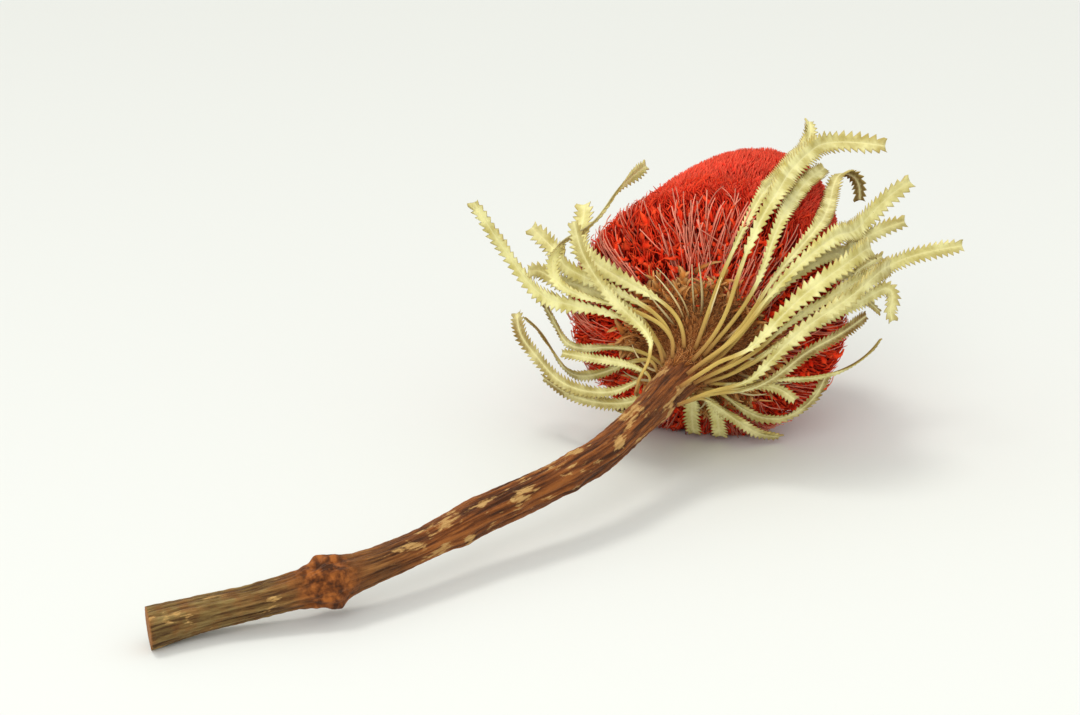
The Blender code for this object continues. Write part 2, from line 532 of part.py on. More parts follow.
def leaf_frames(line, surface_normals, lifts):
    """Direction, face normal and width direction along a line. Close to the head the face lies
    along the head's surface. Further out it is carried on without twist."""
    along = np.gradient(line, axis=0)
    along /= np.linalg.norm(along, axis=1)[:, None]
    normal = surface_normals[0]
    normals = []
    for direction, surface_normal, lift in zip(along, surface_normals, lifts):
        normal = normal + FACE_PULL * math.exp(-(lift / FACE_REACH) ** 2) * surface_normal
        normal = normal - (normal @ direction) * direction
        normal = normal / np.linalg.norm(normal)
        normals.append(normal)
    normals = np.array(normals)
    return along, normals, np.cross(along, normals)


def make_leaf(name, width, roll, route, collection, material):
    """A narrow leaf: a thin folded strip with toothed edges, on a bare stalk."""
    route_path = smooth_path([place(*point) for point in route], 400)
    fine = route_path[:, :3]
    length = float(np.linalg.norm(np.diff(fine, axis=0), axis=1).sum())
    places, left, right = leaf_stations(length, width * MM)
    share = np.linspace(0.0, 1.0, len(fine))
    along, normal, across = leaf_frames(fine, route_path[:, 3:6], route_path[:, 6])

    def at(values):
        return np.stack([np.interp(places, share, values[:, i]) for i in range(3)], axis=1)

    middle, along, normal, across = at(fine), at(along), at(normal), at(across)
    angle = np.radians(np.interp(places, np.linspace(0.0, 1.0, len(roll)), roll))[:, None]
    face = np.cos(angle) * normal + np.sin(angle) * across
    wide = np.cos(angle) * across - np.sin(angle) * normal
    flat = np.clip((places / STALK_SHARE - STALK_ROUND) / (1 - STALK_ROUND), 0.0, 1.0)[:, None]
    rib = (MIDRIB_THICKNESS / 2) * (1.0 - RIB_TAPER * places[:, None])
    edge = flat * LEAF_THICKNESS / 2 + (1 - flat) * rib * STALK_EDGE
    ends = [(-left, edge), (np.zeros(len(places)), rib), (right, edge)]
    is_end = places[:, None] == 1.0
    sections = []
    for sign, order in ((1.0, ends), (-1.0, ends[::-1])):
        for reach, half in order:
            reach = reach[:, None]
            lift = FOLD * np.abs(reach) * flat + sign * half
            tip = np.where(is_end, END_FLARE * np.abs(reach), 0.0)
            sections.append(middle + wide * reach + face * lift + along * tip)
    rings = np.stack(sections, axis=1)

    bm = bmesh.new()
    verts = [[bm.verts.new(p) for p in ring] for ring in rings]
    # Corners run left, middle, right on the upper face and right, middle, left on the lower one.
    # Both faces are split along the same diagonals, so that they stay parallel.
    pairs = ((0, 1), (1, 2), (2, 3), (3, 4), (4, 5), (5, 0))
    for lower, upper in zip(verts, verts[1:]):
        for a, b in pairs:
            if (a, b) in ((3, 4), (4, 5)):
                bm.faces.new((lower[a], lower[b], upper[a]))
                bm.faces.new((lower[b], upper[b], upper[a]))
            else:
                bm.faces.new((lower[a], lower[b], upper[b]))
                bm.faces.new((lower[a], upper[b], upper[a]))
    for ring in (verts[0], verts[-1]):
        for quad in ((0, 1, 4, 5), (1, 2, 3, 4)):
            bm.faces.new([ring[i] for i in quad])
    bmesh.ops.recalc_face_normals(bm, faces=bm.faces)
    mesh = bpy.data.meshes.new(name)
    bm.to_mesh(mesh)
    bm.free()
    return new_object(name, mesh, material, collection)


def main():
    for obj in list(bpy.context.scene.objects):
        bpy.data.objects.remove(obj)
    scene = bpy.context.scene
    scene.unit_settings.system = "METRIC"
    parts = bpy.data.collections.new("banksia_cone")
    cutters = bpy.data.collections.new("cutters")
    scene.collection.children.link(parts)
    scene.collection.children.link(cutters)
    materials = {name: make_material(name) for name in COLOURS}
    make_stem(parts, materials["bark"])
    make_base(parts, materials["felt"])
    make_head(parts, cutters, materials["floret"])
    for name, leaf in LEAVES.items():
        make_leaf(name, leaf["width"], leaf["roll"], leaf["route"], parts, materials["leaf"])


main()
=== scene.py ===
import math

import bpy
import numpy as np
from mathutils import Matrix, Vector


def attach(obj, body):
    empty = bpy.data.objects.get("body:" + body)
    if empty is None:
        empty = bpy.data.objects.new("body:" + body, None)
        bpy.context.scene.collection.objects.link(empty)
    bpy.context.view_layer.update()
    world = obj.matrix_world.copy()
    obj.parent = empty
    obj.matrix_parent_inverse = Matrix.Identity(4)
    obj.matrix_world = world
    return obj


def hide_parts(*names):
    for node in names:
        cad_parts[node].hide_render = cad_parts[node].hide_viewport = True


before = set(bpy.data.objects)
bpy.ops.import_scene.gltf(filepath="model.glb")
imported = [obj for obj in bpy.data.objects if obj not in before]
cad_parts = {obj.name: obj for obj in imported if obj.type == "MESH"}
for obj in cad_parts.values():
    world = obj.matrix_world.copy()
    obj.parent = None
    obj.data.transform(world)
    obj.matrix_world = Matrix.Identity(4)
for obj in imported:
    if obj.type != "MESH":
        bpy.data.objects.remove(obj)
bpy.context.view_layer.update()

# A dried flower head lying on its side, with its stem and its leaves
mm = 0.001

# The camera and the light
view = {
    "place": (-0.5607, -0.3992, 0.2468), "aim": (0.7286, 0.6113, -0.3090), "lens": 74.67,
    "clip": (0.01, 50.0),
}
studio = {
    "floorTone": "#e4e6e3", "skyTone": "#fcfcf8", "skyFoot": 0.36, "skyRise": 0.72,
    "sunFrom": (-0.03, 0.34, 0.93), "sunTone": "#fffdf6", "sunStrength": 0.8, "sunSpread": 16.0,
    "fillPlace": (-1.4, -0.7, 1.0), "fillSize": 1.2, "fillPower": 12.5,
    "floorReach": 8.0, "lampAim": (0, 0, 0.04),
}

# How the head lies: its axis, its collar where the stem ends, and the bend of its tip
headFrame = {
    "heading": 27.0, "pitch": 16.0, "collar": (-27.2, -13.8, 34.0),
    "lean": 14.0, "leanTurn": 60.0, "leanStart": 15.0, "leanSpan": 80.0, "blend": 12.0,
}
# Outlines as (distance past the collar, radius) in mm: over the bristles, and of the heart
headOutline = (
    (-45, 5.2), (-12, 6.0), (-6, 6.6), (0, 10), (4, 17), (7, 26), (10, 35), (15, 42), (20, 44.5),
    (27, 43.5), (36, 40.5), (46, 37.5), (57, 34.5), (68, 31), (79, 26), (88, 20), (95, 13),
    (99, 7), (101, 0))
heartOutline = (
    (6.9, 4), (6.9, 16.5), (8.8, 22.6), (10.8, 29), (13.6, 35.5), (17.5, 40.8), (22, 41.8), (27, 40.9),
    (32, 39.2), (37, 37.8), (42, 36.5), (47, 35.2), (52, 34), (57, 32.7), (62, 31.2), (67, 29.5),
    (72, 27.5), (77, 25.1), (82, 22.1), (87, 18.3), (91.5, 14.0), (95.5, 9.0), (98.5, 4.2), (99.6, 0))
# The stem's centre line from the cut end to the head: (x, y, z, radius) in mm
stemRoute = (
    (-228.0, 12.0, 5.3, 5.2), (-213.0, 6.9, 5.9, 4.7), (-200.0, -1.2, 7.5, 4.5),
    (-190.0, -7.4, 9.2, 5.0), (-183.0, -10.5, 10.4, 6.2), (-176.0, -13.0, 11.0, 5.0),
    (-162.0, -16.2, 12.2, 4.4), (-133.0, -18.8, 15.0, 4.8), (-104.0, -23.4, 18.7, 5.0),
    (-86.0, -24.0, 21.2, 4.9), (-65.0, -21.6, 25.0, 4.8), (-50.0, -18.8, 28.4, 5.2),
    (-41.0, -17.6, 30.3, 5.6), (-33.0, -15.9, 32.2, 6.3), (-26.0, -13.6, 34.2, 6.6))

# Leaves: width, roll of the face from foot to tip in degrees, and the route as
# (distance along the outline, distance clear of it, turn round the axis in degrees)
leafRoutes = {
    "leaf_01": (7.5, (0, 0), (
        (-13, 1, -52), (-3, 5, -53), (4, 4.5, -57), (12, 4.5, -63), (24, 4.5, -70),
        (34, 6, -77), (41, 11, -81), (42, 20, -76), (42, 29, -70), (42, 38, -65))),
    "leaf_02": (7.0, (0, 0, 0, 35), (
        (-8, 1, -34), (1, 3.8, -34), (8, 5, -38), (16, 5.4, -46), (27, 5.2, -56), (36, 5, -63),
        (44, 6, -69), (48, 13, -71), (48, 20, -69))),
    "leaf_03": (6.2, (0, 0, 0, 35), (
        (-8, 1, -66), (1, 2.8, -62), (10, 2, -57), (18, 2, -59), (26, 2, -64), (34, 2, -69),
        (41, 6, -76), (42, 10, -76), (41, 14, -75))),
    "leaf_04": (7.5, (0, 50), (
        (-8, 1, -10), (1, 2.8, -16), (8, 2, -27), (14, 2, -37), (22, 2, -46), (32, 2, -53),
        (40, 2.2, -57), (47, 5, -58), (53, 8, -58), (56, 11, -57))),
    "leaf_05": (5.6, (0, 0, 0, 130, 140, 85), (
        (-13, 1, -22), (-3, 5, -27), (4, 6.5, -36), (10, 7, -45), (16, 7.4, -53), (24, 8, -61),
        (32, 8.8, -67), (37.5, 9.4, -67), (39, 10, -61), (37, 10.4, -50), (36, 10.5, -39),
        (40, 9.5, -30), (53, 9, -25))),
    "leaf_06": (5.4, (0, 0), (
        (-29, 1, -66), (-25, 3.5, -45), (-20, 6, -28), (-13, 8.5, -28), (-5, 10, -38), (5, 11, -47),
        (16, 11.5, -49), (24, 12, -49), (30, 13, -47), (36, 16, -42))),
    "leaf_07": (4.8, (0, 0), (
        (-13, 1.4, -82), (-3, 4.5, -88), (4, 4.5, -95), (13, 4.5, -105), (24, 5, -111),
        (34, 6, -112), (41, 9, -107), (43, 13, -101), (44, 17, -97))),
    "leaf_08": (5.2, (0, 0, 30, 60), (
        (-27, 1, -80), (-16, 6, -98), (-2, 10.5, -111), (12, 11.5, -116), (24, 12, -114),
        (32, 12.5, -109), (37, 13.5, -101), (40, 16, -97), (42, 18.5, -94))),
    "leaf_09": (3.4, (0, 50), (
        (-8, 1, -92), (1, 2.8, -92), (10, 2, -93), (20, 2, -96), (29, 2.2, -100), (37, 3, -101),
        (43, 7, -97), (45, 12, -88))),
    "leaf_10": (5.2, (0, 0), (
        (-32, 1, -112), (-20, 6, -118), (-6, 11, -124), (8, 12, -128), (20, 12, -124),
        (30, 12, -117), (37, 13.5, -111))),
    "leaf_11": (3.8, (0, 40), (
        (-19, 1, -100), (-8, 6.5, -100), (2, 8, -99), (12, 7.8, -98), (22, 7.5, -98),
        (32, 8, -99))),
    "leaf_12": (6.0, (0, 0), (
        (-8, 1, 182), (1, 2.8, 184), (9, 2.2, 185), (17, 2.2, 185), (26, 2.2, 184))),
    "leaf_13": (5.6, (0, 0), (
        (-13, 1, 164), (-3, 4.5, 162), (5, 4.5, 162), (13, 4, 165), (20, 3.5, 168),
        (26, 2.6, 170))),
    "leaf_14": (5.4, (0, 0), (
        (-8, 1, 150), (1, 2.8, 150), (9, 2.2, 149), (16, 2.2, 147), (23, 2.3, 143),
        (28, 2.6, 136), (30, 2.8, 126), (31, 2.8, 115), (31, 2.8, 105))),
    "leaf_15": (5.4, (0, 0), (
        (-19, 1, 148), (-8, 5, 152), (2, 7, 155), (10, 6.8, 155), (19, 6, 152), (27, 5, 149),
        (33, 4.6, 145))),
    "leaf_16": (5.5, (0, 0), (
        (-8, 1, 206), (1, 2.8, 208), (10, 2.2, 212), (20, 2.2, 215), (30, 2.2, 217),
        (40, 2.4, 218), (52, 3, 218), (62, 3.5, 216))),
    "leaf_17": (5.6, (0, 0), (
        (-8, 1, 15), (1, 2.8, 15), (10, 2, 16), (25, 2, 18), (44, 2.2, 21), (66, 2.2, 24),
        (88, 3, 27), (107, 5, 31), (113, 8, 29), (116, 11, 24))),
    "leaf_18": (8.4, (0, 30), (
        (-13, 1, 30), (-3, 4.5, 33), (4, 4.5, 34), (11, 5, 30), (22, 5.2, 25), (36, 5.2, 24),
        (46, 5.2, 26), (68, 5.5, 28), (90, 6.5, 33), (106, 9, 42), (106, 14, 52), (104, 21, 62))),
    "leaf_19": (5.8, (0, 0), (
        (-9, 1, 40), (-3, 3.2, 41), (2, 2.8, 42), (8, 2.2, 43), (16, 2.2, 40), (25, 2.2, 36),
        (34, 2.2, 32), (44, 2.2, 32), (56, 2.2, 34), (76, 2.5, 38), (100, 3.5, 48))),
    "leaf_20": (5.8, (0, -10, -15, -30, -50, -110), (
        (-13, 1, 55), (-3, 4.5, 55), (6, 4.5, 52), (16, 4.5, 46), (26, 4.2, 42), (40, 3.6, 44),
        (63, 3.2, 51), (86, 3.2, 55), (97, 5, 55), (101, 8, 57), (101, 9.5, 65), (97, 8, 75))),
    "leaf_21": (8.0, (0, 0), (
        (-19, 1, 44), (-8, 6.5, 50), (1, 8, 53), (9, 8, 50), (20, 7.5, 45), (31, 7.5, 45),
        (42, 7, 51), (60, 7, 62), (79, 7, 73), (90, 11, 77), (93, 17, 75), (93, 24, 73))),
    "leaf_22": (6.6, (0, 0), (
        (-9, 1, 66), (-3, 3.2, 65), (2, 2.8, 63), (9, 2.2, 57), (17, 2.2, 51), (25, 2.2, 49),
        (34, 2.2, 51), (44, 2.4, 57), (58, 3, 69), (74, 3.5, 78), (85, 8, 84), (89, 14, 85),
        (89, 20, 84))),
    "leaf_23": (5.2, (0, 0), (
        (-9, 1, 90), (-3, 3.2, 89), (2, 2.8, 85), (9, 2.2, 75), (20, 3, 62), (31, 4.4, 58),
        (40, 4.4, 63), (52, 4, 76), (68, 4, 88), (78, 7, 93), (82, 13, 93))),
    "leaf_24": (6.2, (0, 0), (
        (-19, 1, 76), (-8, 6.5, 79), (1, 8, 79), (9, 8, 73), (20, 8, 64), (34, 8, 64),
        (46, 9, 72), (58, 12, 80), (67, 16, 84), (71, 22, 85), (72, 29, 85), (72, 37, 85))),
    "leaf_25": (5.6, (0, 0), (
        (-13, 1, 104), (-3, 4.5, 102), (5, 4.5, 94), (14, 5, 80), (27, 5.2, 73), (38, 5.2, 75),
        (45, 7, 79.5), (49, 11.5, 81), (50, 14.5, 82), (48.5, 14, 85), (47.5, 12.5, 87.5),
        (46.5, 13.5, 91))),
    "leaf_26": (3.4, (0, 0), (
        (-9, 1, 113), (-3, 3.2, 110), (2, 2.8, 104), (10, 2.2, 91), (20, 2.2, 79),
        (30, 2.2, 75), (38, 2.8, 76), (43, 4.5, 79), (47, 7.5, 84), (47, 10, 88))),
    "leaf_27": (7.6, (0, 0), (
        (-25, 1, 56), (-16, 6, 60), (-8, 10, 64), (1, 11.5, 67), (8, 11.5, 64), (16, 11.5, 58),
        (27, 11.5, 54), (37, 11, 57), (49, 10.5, 65), (61, 10, 73))),
    "leaf_28": (7.4, (0, 0), (
        (-29, 1, 92), (-18, 6, 96), (-8, 11, 98), (1, 13, 93), (7, 14, 85), (14, 14.5, 74),
        (24, 14.5, 66), (34, 14.5, 65), (42, 14.5, 69), (49, 15, 74))),
    "leaf_29": (4.6, (0, -15), (
        (-19, 1, 126), (-8, 6.5, 124), (1, 8, 119), (8, 8, 110), (15, 7.5, 98), (23, 7, 86),
        (32, 6.5, 82.5), (42, 6, 85))),
    "leaf_30": (2.8, (0, 30), (
        (-13, 1, 138), (-3, 4.5, 136), (5, 4.6, 126), (12, 4.6, 112), (20, 5.2, 105),
        (28, 5.2, 103), (34, 7, 99), (38, 10, 94), (40, 12, 90))),
    "leaf_31": (4.4, (0, 0), (
        (-8, 1, 131), (1, 2.8, 131), (7, 2.2, 127), (13, 2.2, 120), (19, 2.5, 118),
        (25, 4, 120))),
}


# Colours

def paint(code):
    # A hex colour as the linear red, green, blue and alpha that shaders take
    parts = np.array([int(code[i:i + 2], 16) / 255 for i in (1, 3, 5)])
    linear = np.where(parts <= 0.04045, parts / 12.92, ((parts + 0.055) / 1.055) ** 2.4)
    return (*map(float, linear), 1.0)


def grey(value):
    return (value, value, value, 1.0)


# Geometry helpers, all in mm

heading, pitch = math.radians(headFrame["heading"]), math.radians(headFrame["pitch"])
axis = np.array((math.cos(heading) * math.cos(pitch), math.sin(heading) * math.cos(pitch),
                 math.sin(pitch)))
upward = np.array((-math.cos(heading) * math.sin(pitch), -math.sin(heading) * math.sin(pitch),
                   math.cos(pitch)))
sideward = np.cross(axis, upward)
collar = np.array(headFrame["collar"])
tableStep = 0.1                                     # between the entries of an outline's tables
goldenTurn = math.pi * (3 - math.sqrt(5))


def unit(vectors):
    return vectors / np.maximum(np.linalg.norm(vectors, axis=-1, keepdims=True), 1e-9)


def runningMean(values, half):
    # The mean of each value and its neighbours on both sides, with the end values repeated
    window = np.ones(2 * half + 1) / (2 * half + 1)
    return np.convolve(np.pad(values, half, mode="edge"), window, mode="valid")


def readOff(at, places, table):
    # Each column of a table read off at the given places
    return np.stack([np.interp(at, places, column) for column in table.T], axis=-1)


def lengthsAlong(points):
    return np.concatenate(([0.0], np.cumsum(np.linalg.norm(np.diff(points, axis=0), axis=1))))


def smoothPath(points, count):
    # Cubic pieces through the given points, each with the slope between its neighbours,
    # then read off at equal steps of length. Extra columns are carried along.
    points = np.asarray(points, float)
    chord = lengthsAlong(points[:, :3])
    slope = np.gradient(points, chord, axis=0)
    fineCount = 40 * len(points)
    t = np.linspace(0.0, chord[-1], fineCount)
    k = np.clip(np.searchsorted(chord, t, side="right") - 1, 0, len(chord) - 2)
    span = (chord[k + 1] - chord[k])[:, None]
    u = (t - chord[k])[:, None] / span
    curve = ((2 * u**3 - 3 * u**2 + 1) * points[k] + (u**3 - 2 * u**2 + u) * span * slope[k]
             + (3 * u**2 - 2 * u**3) * points[k + 1] + (u**3 - u**2) * span * slope[k + 1])
    length = lengthsAlong(curve[:, :3])
    return readOff(np.linspace(0.0, length[-1], count), length, curve)


stemLine = smoothPath(stemRoute, 46)


def spinePoint(s):
    # Centre of the stem, or of the leaning head, at distances s past the collar. The lean grows
    # with the power 1.5 of the distance past its start.
    s = np.asarray(s, float)
    share = np.clip((s - headFrame["leanStart"]) / headFrame["leanSpan"], 0, 1.2)
    share = headFrame["lean"] * share ** 1.5
    leanTurn = math.radians(headFrame["leanTurn"])
    side = math.cos(leanTurn) * upward + math.sin(leanTurn) * sideward
    onAxis = collar + s[..., None] * axis + share[..., None] * side
    axial = (stemLine[:, :3] - collar) @ axis
    onStem = readOff(s, axial, stemLine[:, :3])
    blend = np.clip(s / headFrame["blend"] + 1, 0, 1)[..., None]
    return blend * onAxis + (1 - blend) * onStem


def turnedTables(outline, softness):
    # The outline read at even steps and softened: distance along it, axial place, radius, normal
    steps = np.concatenate(([0], np.cumsum([math.dist(a, b) for a, b in zip(outline, outline[1:])])))
    s = np.arange(0, steps[-1], tableStep)
    axial = np.interp(s, steps, [p[0] for p in outline])
    radius = np.interp(s, steps, [p[1] for p in outline])
    keep = np.clip(np.minimum(s, s[-1] - s) / (softness * tableStep), 0, 1)
    axial = axial + keep * (runningMean(axial, softness) - axial)
    radius = radius + keep * (runningMean(radius, softness) - radius)
    along = np.concatenate(([0.0], np.cumsum(np.hypot(np.diff(axial), np.diff(radius)))))
    return [along, axial, radius, -np.gradient(radius, along), np.gradient(axial, along)]


def turnedByAxis(outline, softness):
    # The same for an outline whose axial places only rise, softened up to its last points, with
    # its distances counted from the collar
    s = np.arange(outline[0][0], outline[-1][0] + tableStep, tableStep)
    radius = np.interp(s, [p[0] for p in outline], [p[1] for p in outline])
    radius = np.where(s < outline[-3][0], runningMean(radius, softness), radius)
    along = np.concatenate(([0.0], np.cumsum(np.hypot(np.diff(s), np.diff(radius)))))
    along -= np.interp(0.0, s, along)
    return [along, s, radius, -np.gradient(radius, along), np.gradient(s, along)]


overBristles = turnedByAxis(headOutline, 15)
heart = turnedTables(heartOutline, 20)


def onTurned(tables, along, lift, turn):
    # World point at a distance along an outline, clear of it by lift, at a turn in radians,
    # with the outline's normal there
    table, axial, radius, normalAxial, normalOut = tables
    along, lift, turn = np.broadcast_arrays(*(np.asarray(v, float) for v in (along, lift, turn)))
    na, no = np.interp(along, table, normalAxial), np.interp(along, table, normalOut)
    side = np.cos(turn)[..., None] * upward + np.sin(turn)[..., None] * sideward
    point = spinePoint(np.interp(along, table, axial) + lift * na)
    point = point + (np.interp(along, table, radius) + lift * no)[..., None] * side
    return point, na[..., None] * axis + no[..., None] * side


def waves(seed, count, *spans):
    # A smooth random field: a sum of sines over the given coordinates, each with its own
    # rates up to the given limits (whole ones for a limit that is whole, so that it closes
    # round the axis) and a random phase, scaled to about -1 to 1
    draw = np.random.default_rng(seed)
    total = 0.0
    for _ in range(count):
        phase = draw.uniform(0, math.tau)
        for coordinate, limit in spans:
            whole = isinstance(limit, int)
            rate = draw.integers(-limit, limit + 1) if whole else draw.uniform(-limit, limit)
            phase = phase + rate * coordinate
        total = total + np.sin(phase)
    return total / math.sqrt(count)


# Mesh builders

strandClearance = 0.15                              # of every strand above the floor


def addPiece(name, verts, faceSets, material, attributes=None, uv=None, nodes=()):
    # Puts whole arrays of points (in mm) and faces into a mesh, rides it on the body
    mesh = bpy.data.meshes.new(name)
    verts = np.asarray(verts, float).reshape(-1, 3) * mm
    corners = np.concatenate([f.ravel() for f in faceSets]).astype(np.int32)
    sizes = np.concatenate([np.full(len(f), f.shape[1]) for f in faceSets])
    starts = np.concatenate(([0], np.cumsum(sizes)[:-1])).astype(np.int32)
    mesh.vertices.add(len(verts))
    mesh.vertices.foreach_set("co", verts.ravel())
    mesh.loops.add(len(corners))
    mesh.loops.foreach_set("vertex_index", corners)
    mesh.polygons.add(len(sizes))
    mesh.polygons.foreach_set("loop_start", starts)
    for key, values in (attributes or {}).items():
        if np.ndim(values) == 2:
            layer = mesh.attributes.new(key, "FLOAT_VECTOR", "POINT")
            layer.data.foreach_set("vector", values.astype(float).ravel())
        else:
            layer = mesh.attributes.new(key, "FLOAT", "POINT")
            values = np.broadcast_to(values, verts.shape[:1]).astype(float)
            layer.data.foreach_set("value", values.ravel())
    if uv is not None:
        layer = mesh.uv_layers.new(name="UVMap")
        layer.data.foreach_set("uv", uv.reshape(-1, 2)[corners].astype(float).ravel())
    mesh.update(calc_edges=True)
    mesh.shade_smooth()
    mesh.materials.append(material)
    piece = bpy.data.objects.new(name, mesh)
    bpy.context.scene.collection.objects.link(piece)
    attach(piece, "root")
    if nodes:
        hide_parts(*nodes)
    print(name, sum((f.shape[1] - 2) * len(f) for f in faceSets), "triangles")


def ringFaces(strands, stations, sides):
    # Faces of many closed tubes: quads between neighbouring rings, and a cap at each end
    ring = np.arange(sides)
    after = (ring + 1) % sides
    step = np.arange(stations - 1)[None, :, None]
    base = (np.arange(strands)[:, None, None] * stations + step) * sides
    quads = np.stack((base + ring, base + sides + ring, base + sides + after, base + after), axis=-1)
    first = np.arange(strands)[:, None] * stations * sides + ring
    last = first[:, ::-1] + (stations - 1) * sides
    return [quads.reshape(-1, 4), first, last]


def skinPiece(name, tables, shape, material, node, attributes=None):
    # A closed skin over an outline turned round the axis, lifted from it and lumpy
    along = np.linspace(0, tables[0][-1], shape["rows"])[:, None]
    turn = np.arange(shape["sides"]) * math.tau / shape["sides"]
    lumps = waves(shape["seed"], shape["waves"], (turn, shape["turnRate"]), (along, shape["alongRate"]))
    rings = onTurned(tables, along, shape["lift"] + shape["lumps"] * lumps, turn)[0]
    rings[..., 2] = np.maximum(rings[..., 2], shape["clearance"])
    addPiece(name, rings, ringFaces(1, *rings.shape[:2]), material, attributes, nodes=(node,))


def strandPiece(name, paths, wide, thin, facing, sides, material, draw):
    # Many tubes at once: each ring is an ellipse square to its path, with the wide axis across
    # the facing direction and the thin axis along it. Each strand gets a random tone.
    along = unit(np.gradient(paths, axis=1))
    up = unit(facing - np.sum(facing * along, axis=-1, keepdims=True) * along)
    across = np.cross(along, up)
    angle = np.arange(sides) * math.tau / sides
    rings = (paths[:, :, None] + (wide[..., None] * np.cos(angle))[..., None] * across[:, :, None]
             + (thin[..., None] * np.sin(angle))[..., None] * up[:, :, None])
    rings[..., 2] = np.maximum(rings[..., 2], strandClearance)
    ones = np.ones(rings.shape[:3])
    share = np.linspace(0, 1, paths.shape[1])[None, :, None] * ones
    tone = draw.uniform(0, 1, len(paths))[:, None, None] * ones
    attributes = {"share": share.ravel(), "tone": tone.ravel()}
    addPiece(name, rings, ringFaces(*rings.shape[:3]), material, attributes)


# Shader helpers

def linkNode(tree, kind, settings=None, **sockets):
    # A node with its settings, and values or links for its inputs. Inputs go by name, or as i0,
    # i1 and so on by number.
    made = tree.nodes.new(kind)
    for key, value in (settings or {}).items():
        setattr(made, key, value)
    for key, value in sockets.items():
        number = key[1:] if key[0] == "i" else ""
        socket = made.inputs[int(number) if number.isdigit() else key]
        if isinstance(value, bpy.types.NodeSocket):
            tree.links.new(value, socket)
        else:
            socket.default_value = value
    return made


def ramp(tree, value, *stops):
    made = linkNode(tree, "ShaderNodeValToRGB", i0=value)
    elements = made.color_ramp.elements
    while len(elements) < len(stops):
        elements.new(0.5)
    for element, (place, colour) in zip(elements, stops):
        element.position, element.color = place, colour
    return made.outputs[0]


def mixed(tree, factor, first, second, blend="MIX"):
    settings = {"data_type": "RGBA", "blend_type": blend}
    return linkNode(tree, "ShaderNodeMix", settings, i0=factor, i6=first, i7=second).outputs[2]


def maths(tree, operation, *values):
    sockets = {f"i{index}": value for index, value in enumerate(values)}
    return linkNode(tree, "ShaderNodeMath", {"operation": operation}, **sockets).outputs[0]


def attribute(tree, name):
    return linkNode(tree, "ShaderNodeAttribute", {"attribute_name": name}).outputs["Fac"]


def noise(tree, place, scale, detail, roughness=0.5, stretch=None):
    if stretch is not None:
        place = linkNode(tree, "ShaderNodeMapping", i0=place, i3=stretch).outputs[0]
    made = linkNode(tree, "ShaderNodeTexNoise", Vector=place, Scale=scale, Detail=detail,
                    Roughness=roughness)
    return made.outputs[0]


def mottleGroup():
    # Soft patches and fine specks from two noises on the object's own coordinates
    group = bpy.data.node_groups.new("mottle", "ShaderNodeTree")
    for name, value in (("Patch Scale", 200), ("Speck Scale", 1500)):
        socket = group.interface.new_socket(name, in_out="INPUT", socket_type="NodeSocketFloat")
        socket.default_value = value
    for name in ("Patches", "Specks"):
        group.interface.new_socket(name, in_out="OUTPUT", socket_type="NodeSocketFloat")
    inside, outside = group.nodes.new("NodeGroupInput"), group.nodes.new("NodeGroupOutput")
    place = group.nodes.new("ShaderNodeTexCoord").outputs["Object"]
    for scale, result in zip(inside.outputs, outside.inputs):
        if scale.name:
            group.links.new(noise(group, place, scale, 4.0), result)
    return group


mottle = mottleGroup()


def addMottle(tree, patchScale, speckScale):
    made = tree.nodes.new("ShaderNodeGroup")
    made.node_tree = mottle
    made.inputs["Patch Scale"].default_value = patchScale
    made.inputs["Speck Scale"].default_value = speckScale
    return made.outputs["Patches"], made.outputs["Specks"]


def newMaterial(name, roughness, specular, sheen=0.0, sheenTint="#ffffff"):
    material = bpy.data.materials.new(name)
    material.use_nodes = True
    tree = material.node_tree
    shader = tree.nodes["Principled BSDF"]
    shader.inputs["Roughness"].default_value = roughness
    shader.inputs["Specular IOR Level"].default_value = specular
    shader.inputs["Sheen Weight"].default_value = sheen
    shader.inputs["Sheen Roughness"].default_value = 0.4
    shader.inputs["Sheen Tint"].default_value = paint(sheenTint)
    return material, tree, shader


def bumped(tree, shader, height, strength, distance):
    bump = linkNode(tree, "ShaderNodeBump", Strength=strength, Distance=distance, Height=height)
    tree.links.new(bump.outputs[0], shader.inputs["Normal"])


# Strands, hairs and bracts: colours from root to tip, roughness, sheen and its tint
shadeRange = (0.65, 1.21)                           # darkest and lightest strand
strandLooks = {
    "bract": (((0, "#84481c"), (0.5, "#c87c38"), (1, "#e0b070")), 0.85, 0.15, "#ffd8a8"),
    "strap": (((0, "#8a5e2c"), (0.35, "#d8c088"), (1, "#e8d8a4")), 0.6, 0.1, "#fff0d0"),
    "feltHair": (((0, "#6e3c18"), (0.5, "#b06a30"), (1, "#d8985a")), 0.9, 0.3, "#ffd8a8"),
    # The heart's even dark red is painted shade: the shade deep among the strands
    "headHeartShade": (((0, "#6a0c06"), (1, "#6a0c06")), 0.95, 0.0, "#ffffff"),
    "domeVelvet": (((0, "#cc2010"), (0.5, "#f03a26"), (1, "#ff6248")), 0.9, 0.1, "#ff6a50"),
    # The open florets' dark roots: partly their own colour, partly painted shade in the gaps between them
    "openFloret": (((0, "#8c1004"), (0.5, "#e0280e"), (1, "#ff5630")), 0.85, 0.05, "#ff6a50"),
    "floretFlake": (((0, "#c01c08"), (0.5, "#f03010"), (1, "#ff5a2c")), 0.8, 0.05, "#ff6a50"),
    "style": (((0, "#a82c18"), (0.35, "#d05c42"), (1, "#f29a80")), 0.5, 0.0, "#ffffff"),
}


